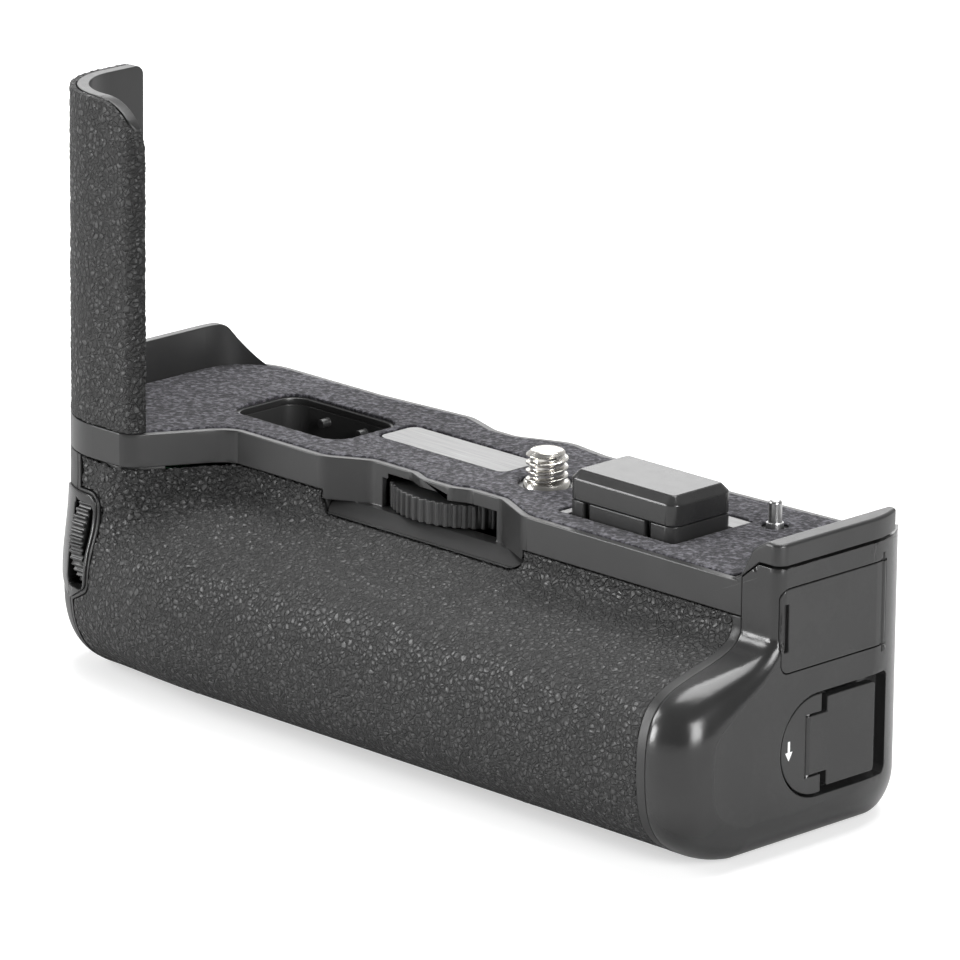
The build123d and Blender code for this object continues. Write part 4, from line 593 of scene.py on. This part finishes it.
def grip_depth(place):
    """The grip's grain: deeper and more wrinkled on the bend at the shutter end."""
    bend = ease(place.z, bend_low_z, bend_high_z) * (1 - ease(place.x, bend_full_x, bend_end_x))
    return 1.0 + bend_extra * bend


def leather(name, source, depth_at):
    """A leather-grained piece in the place of a smooth rubber node."""
    mesh = fine_mesh(source, grain_voxel, grain_soften_turns)
    heights = []

    def rise(place):
        height = grain_height(place)
        heights.append(height)
        wrinkle = noise.noise(place / wrinkle_size)
        return ((height - 1.0) * pebble_depth + (wrinkle - 0.5) * wrinkle_depth) * depth_at(place)

    raise_mesh(mesh, rise)
    grain = mesh.attributes.new("grain", "FLOAT", "POINT")
    grain.data.foreach_set("value", heights)
    mesh.update()
    mesh_piece(name, mesh, "grip", "grip_rubber", [source.name])


noise.seed_set(grain_seed)
leather("grip_leather", nodes["grip_skin"], grip_depth)
leather("fin_leather", nodes["fin_skin"], even_depth)
leather("thumb_pad_leather", nodes["rear_pad"], even_depth)


def felt_piece():
    """The flocked pad with an uneven nap."""
    voxel = felt_voxel
    mesh = fine_mesh(nodes["felt_pad"], voxel / 2, felt_soften_turns)

    def rise(place):
        nap = noise.noise(place * nap_scale) + fine_nap_share * noise.noise(place * fine_nap_scale)
        return nap * felt_nap

    raise_mesh(mesh, rise)
    mesh.update()
    mesh_piece("felt_flock", mesh, "grip", "felt", ["felt_pad"])


felt_piece()


def thread_profile(turn):
    """Radius share of the thread at one place along its pitch: a flat root, flanks and a narrow crest."""
    t = turn % 1.0
    rise = (1 - thread_root_share) / 2
    if t < thread_root_share:
        return 0.0
    if t < thread_root_share + rise:
        return ease((t - thread_root_share) / rise, 0.0, thread_flank_share)
    return ease((1 - t) / rise, 0.0, thread_flank_share)


def thread_radius(z, angle, top):
    """Radius of the threaded part at a height and an angle, with a chamfered tip."""
    turn = (z - screw_collar_top) / thread_pitch - angle / (2 * pi)
    cut = thread_depth * (1 - thread_profile(turn))
    tip = max(0.0, screw_tip_length - (top - z))
    return screw_crest_r - max(cut, tip)


def join_rings(form, rings):
    """Faces between each ring of points and the next."""
    for first, second in zip(rings, rings[1:]):
        for step in range(len(first)):
            after = (step + 1) % len(first)
            form.faces.new((first[step], first[after], second[after], second[step]))


def screw_piece():
    """The mounting screw with its cut thread, on its gear."""
    low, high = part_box("mounting_screw")
    centre_x = (low.x + high.x) / 2 / MM
    centre_y = (low.y + high.y) / 2 / MM
    top = high.z / MM
    gear_top = low.z / MM + screw_gear_thickness
    form = bmesh.new()
    form.from_mesh(nodes["mounting_screw"].data)
    above = [face for face in form.faces if face.calc_center_median().z > gear_top * MM + print_rise]
    bmesh.ops.delete(form, geom=above, context="FACES")

    def ring(z, radius_at):
        places = []
        for step in range(screw_segments):
            angle = 2 * pi * step / screw_segments
            radius = radius_at(z, angle, top)
            places.append(form.verts.new((
                (centre_x + radius * cos(angle)) * MM, (centre_y + radius * sin(angle)) * MM, z * MM)))
        return places

    def collar_radius(z, angle, top):
        return screw_collar_r

    rows = [ring(z, collar_radius) for z in (gear_top - screw_joint_depth, screw_collar_top)]
    thread_length = top - screw_collar_top
    for row in range(thread_rows + 1):
        rows.append(ring(screw_collar_top + thread_length * row / thread_rows, thread_radius))
    join_rings(form, rows)
    cap_rings = [rows[-1]]
    for share in screw_cap_shares:
        inner = []
        for vertex in rows[-1]:
            x = centre_x * MM + (vertex.co.x - centre_x * MM) * share
            y = centre_y * MM + (vertex.co.y - centre_y * MM) * share
            inner.append(form.verts.new((x, y, vertex.co.z)))
        cap_rings.append(inner)
    join_rings(form, cap_rings)
    form.faces.new(cap_rings[-1])
    bmesh.ops.remove_doubles(form, verts=form.verts, dist=screw_weld)
    bmesh.ops.recalc_face_normals(form, faces=form.faces)
    mesh = bpy.data.meshes.new("screw_thread")
    form.to_mesh(mesh)
    form.free()
    mesh.shade_smooth()
    mesh.set_sharp_from_angle(angle=screw_sharp_angle)
    mesh_piece("threaded_screw", mesh, "screw", "nickel", ["mounting_screw"])


screw_piece()


def arrow():
    """A printed white arrow on the latch disc that shows which way it turns."""
    face_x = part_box("latch_disc")[1].x
    shaft = arrow_width / 2
    outline = [
        (0.0, arrow_low_z), (arrow_head / 2, arrow_neck_z), (shaft, arrow_neck_z), (shaft, arrow_top_z),
        (-shaft, arrow_top_z), (-shaft, arrow_neck_z), (-arrow_head / 2, arrow_neck_z),
    ]
    form = bmesh.new()
    rings = []
    for x in (face_x, face_x + print_rise):
        rings.append([form.verts.new((x, (arrow_y + y) * MM, z * MM)) for y, z in outline])
    form.faces.new(rings[1])
    form.faces.new(list(reversed(rings[0])))
    join_rings(form, rings)
    bmesh.ops.recalc_face_normals(form, faces=form.faces)
    mesh = bpy.data.meshes.new("latch_arrow")
    form.to_mesh(mesh)
    form.free()
    mesh_piece("latch_arrow", mesh, "latch", "print_white")


arrow()
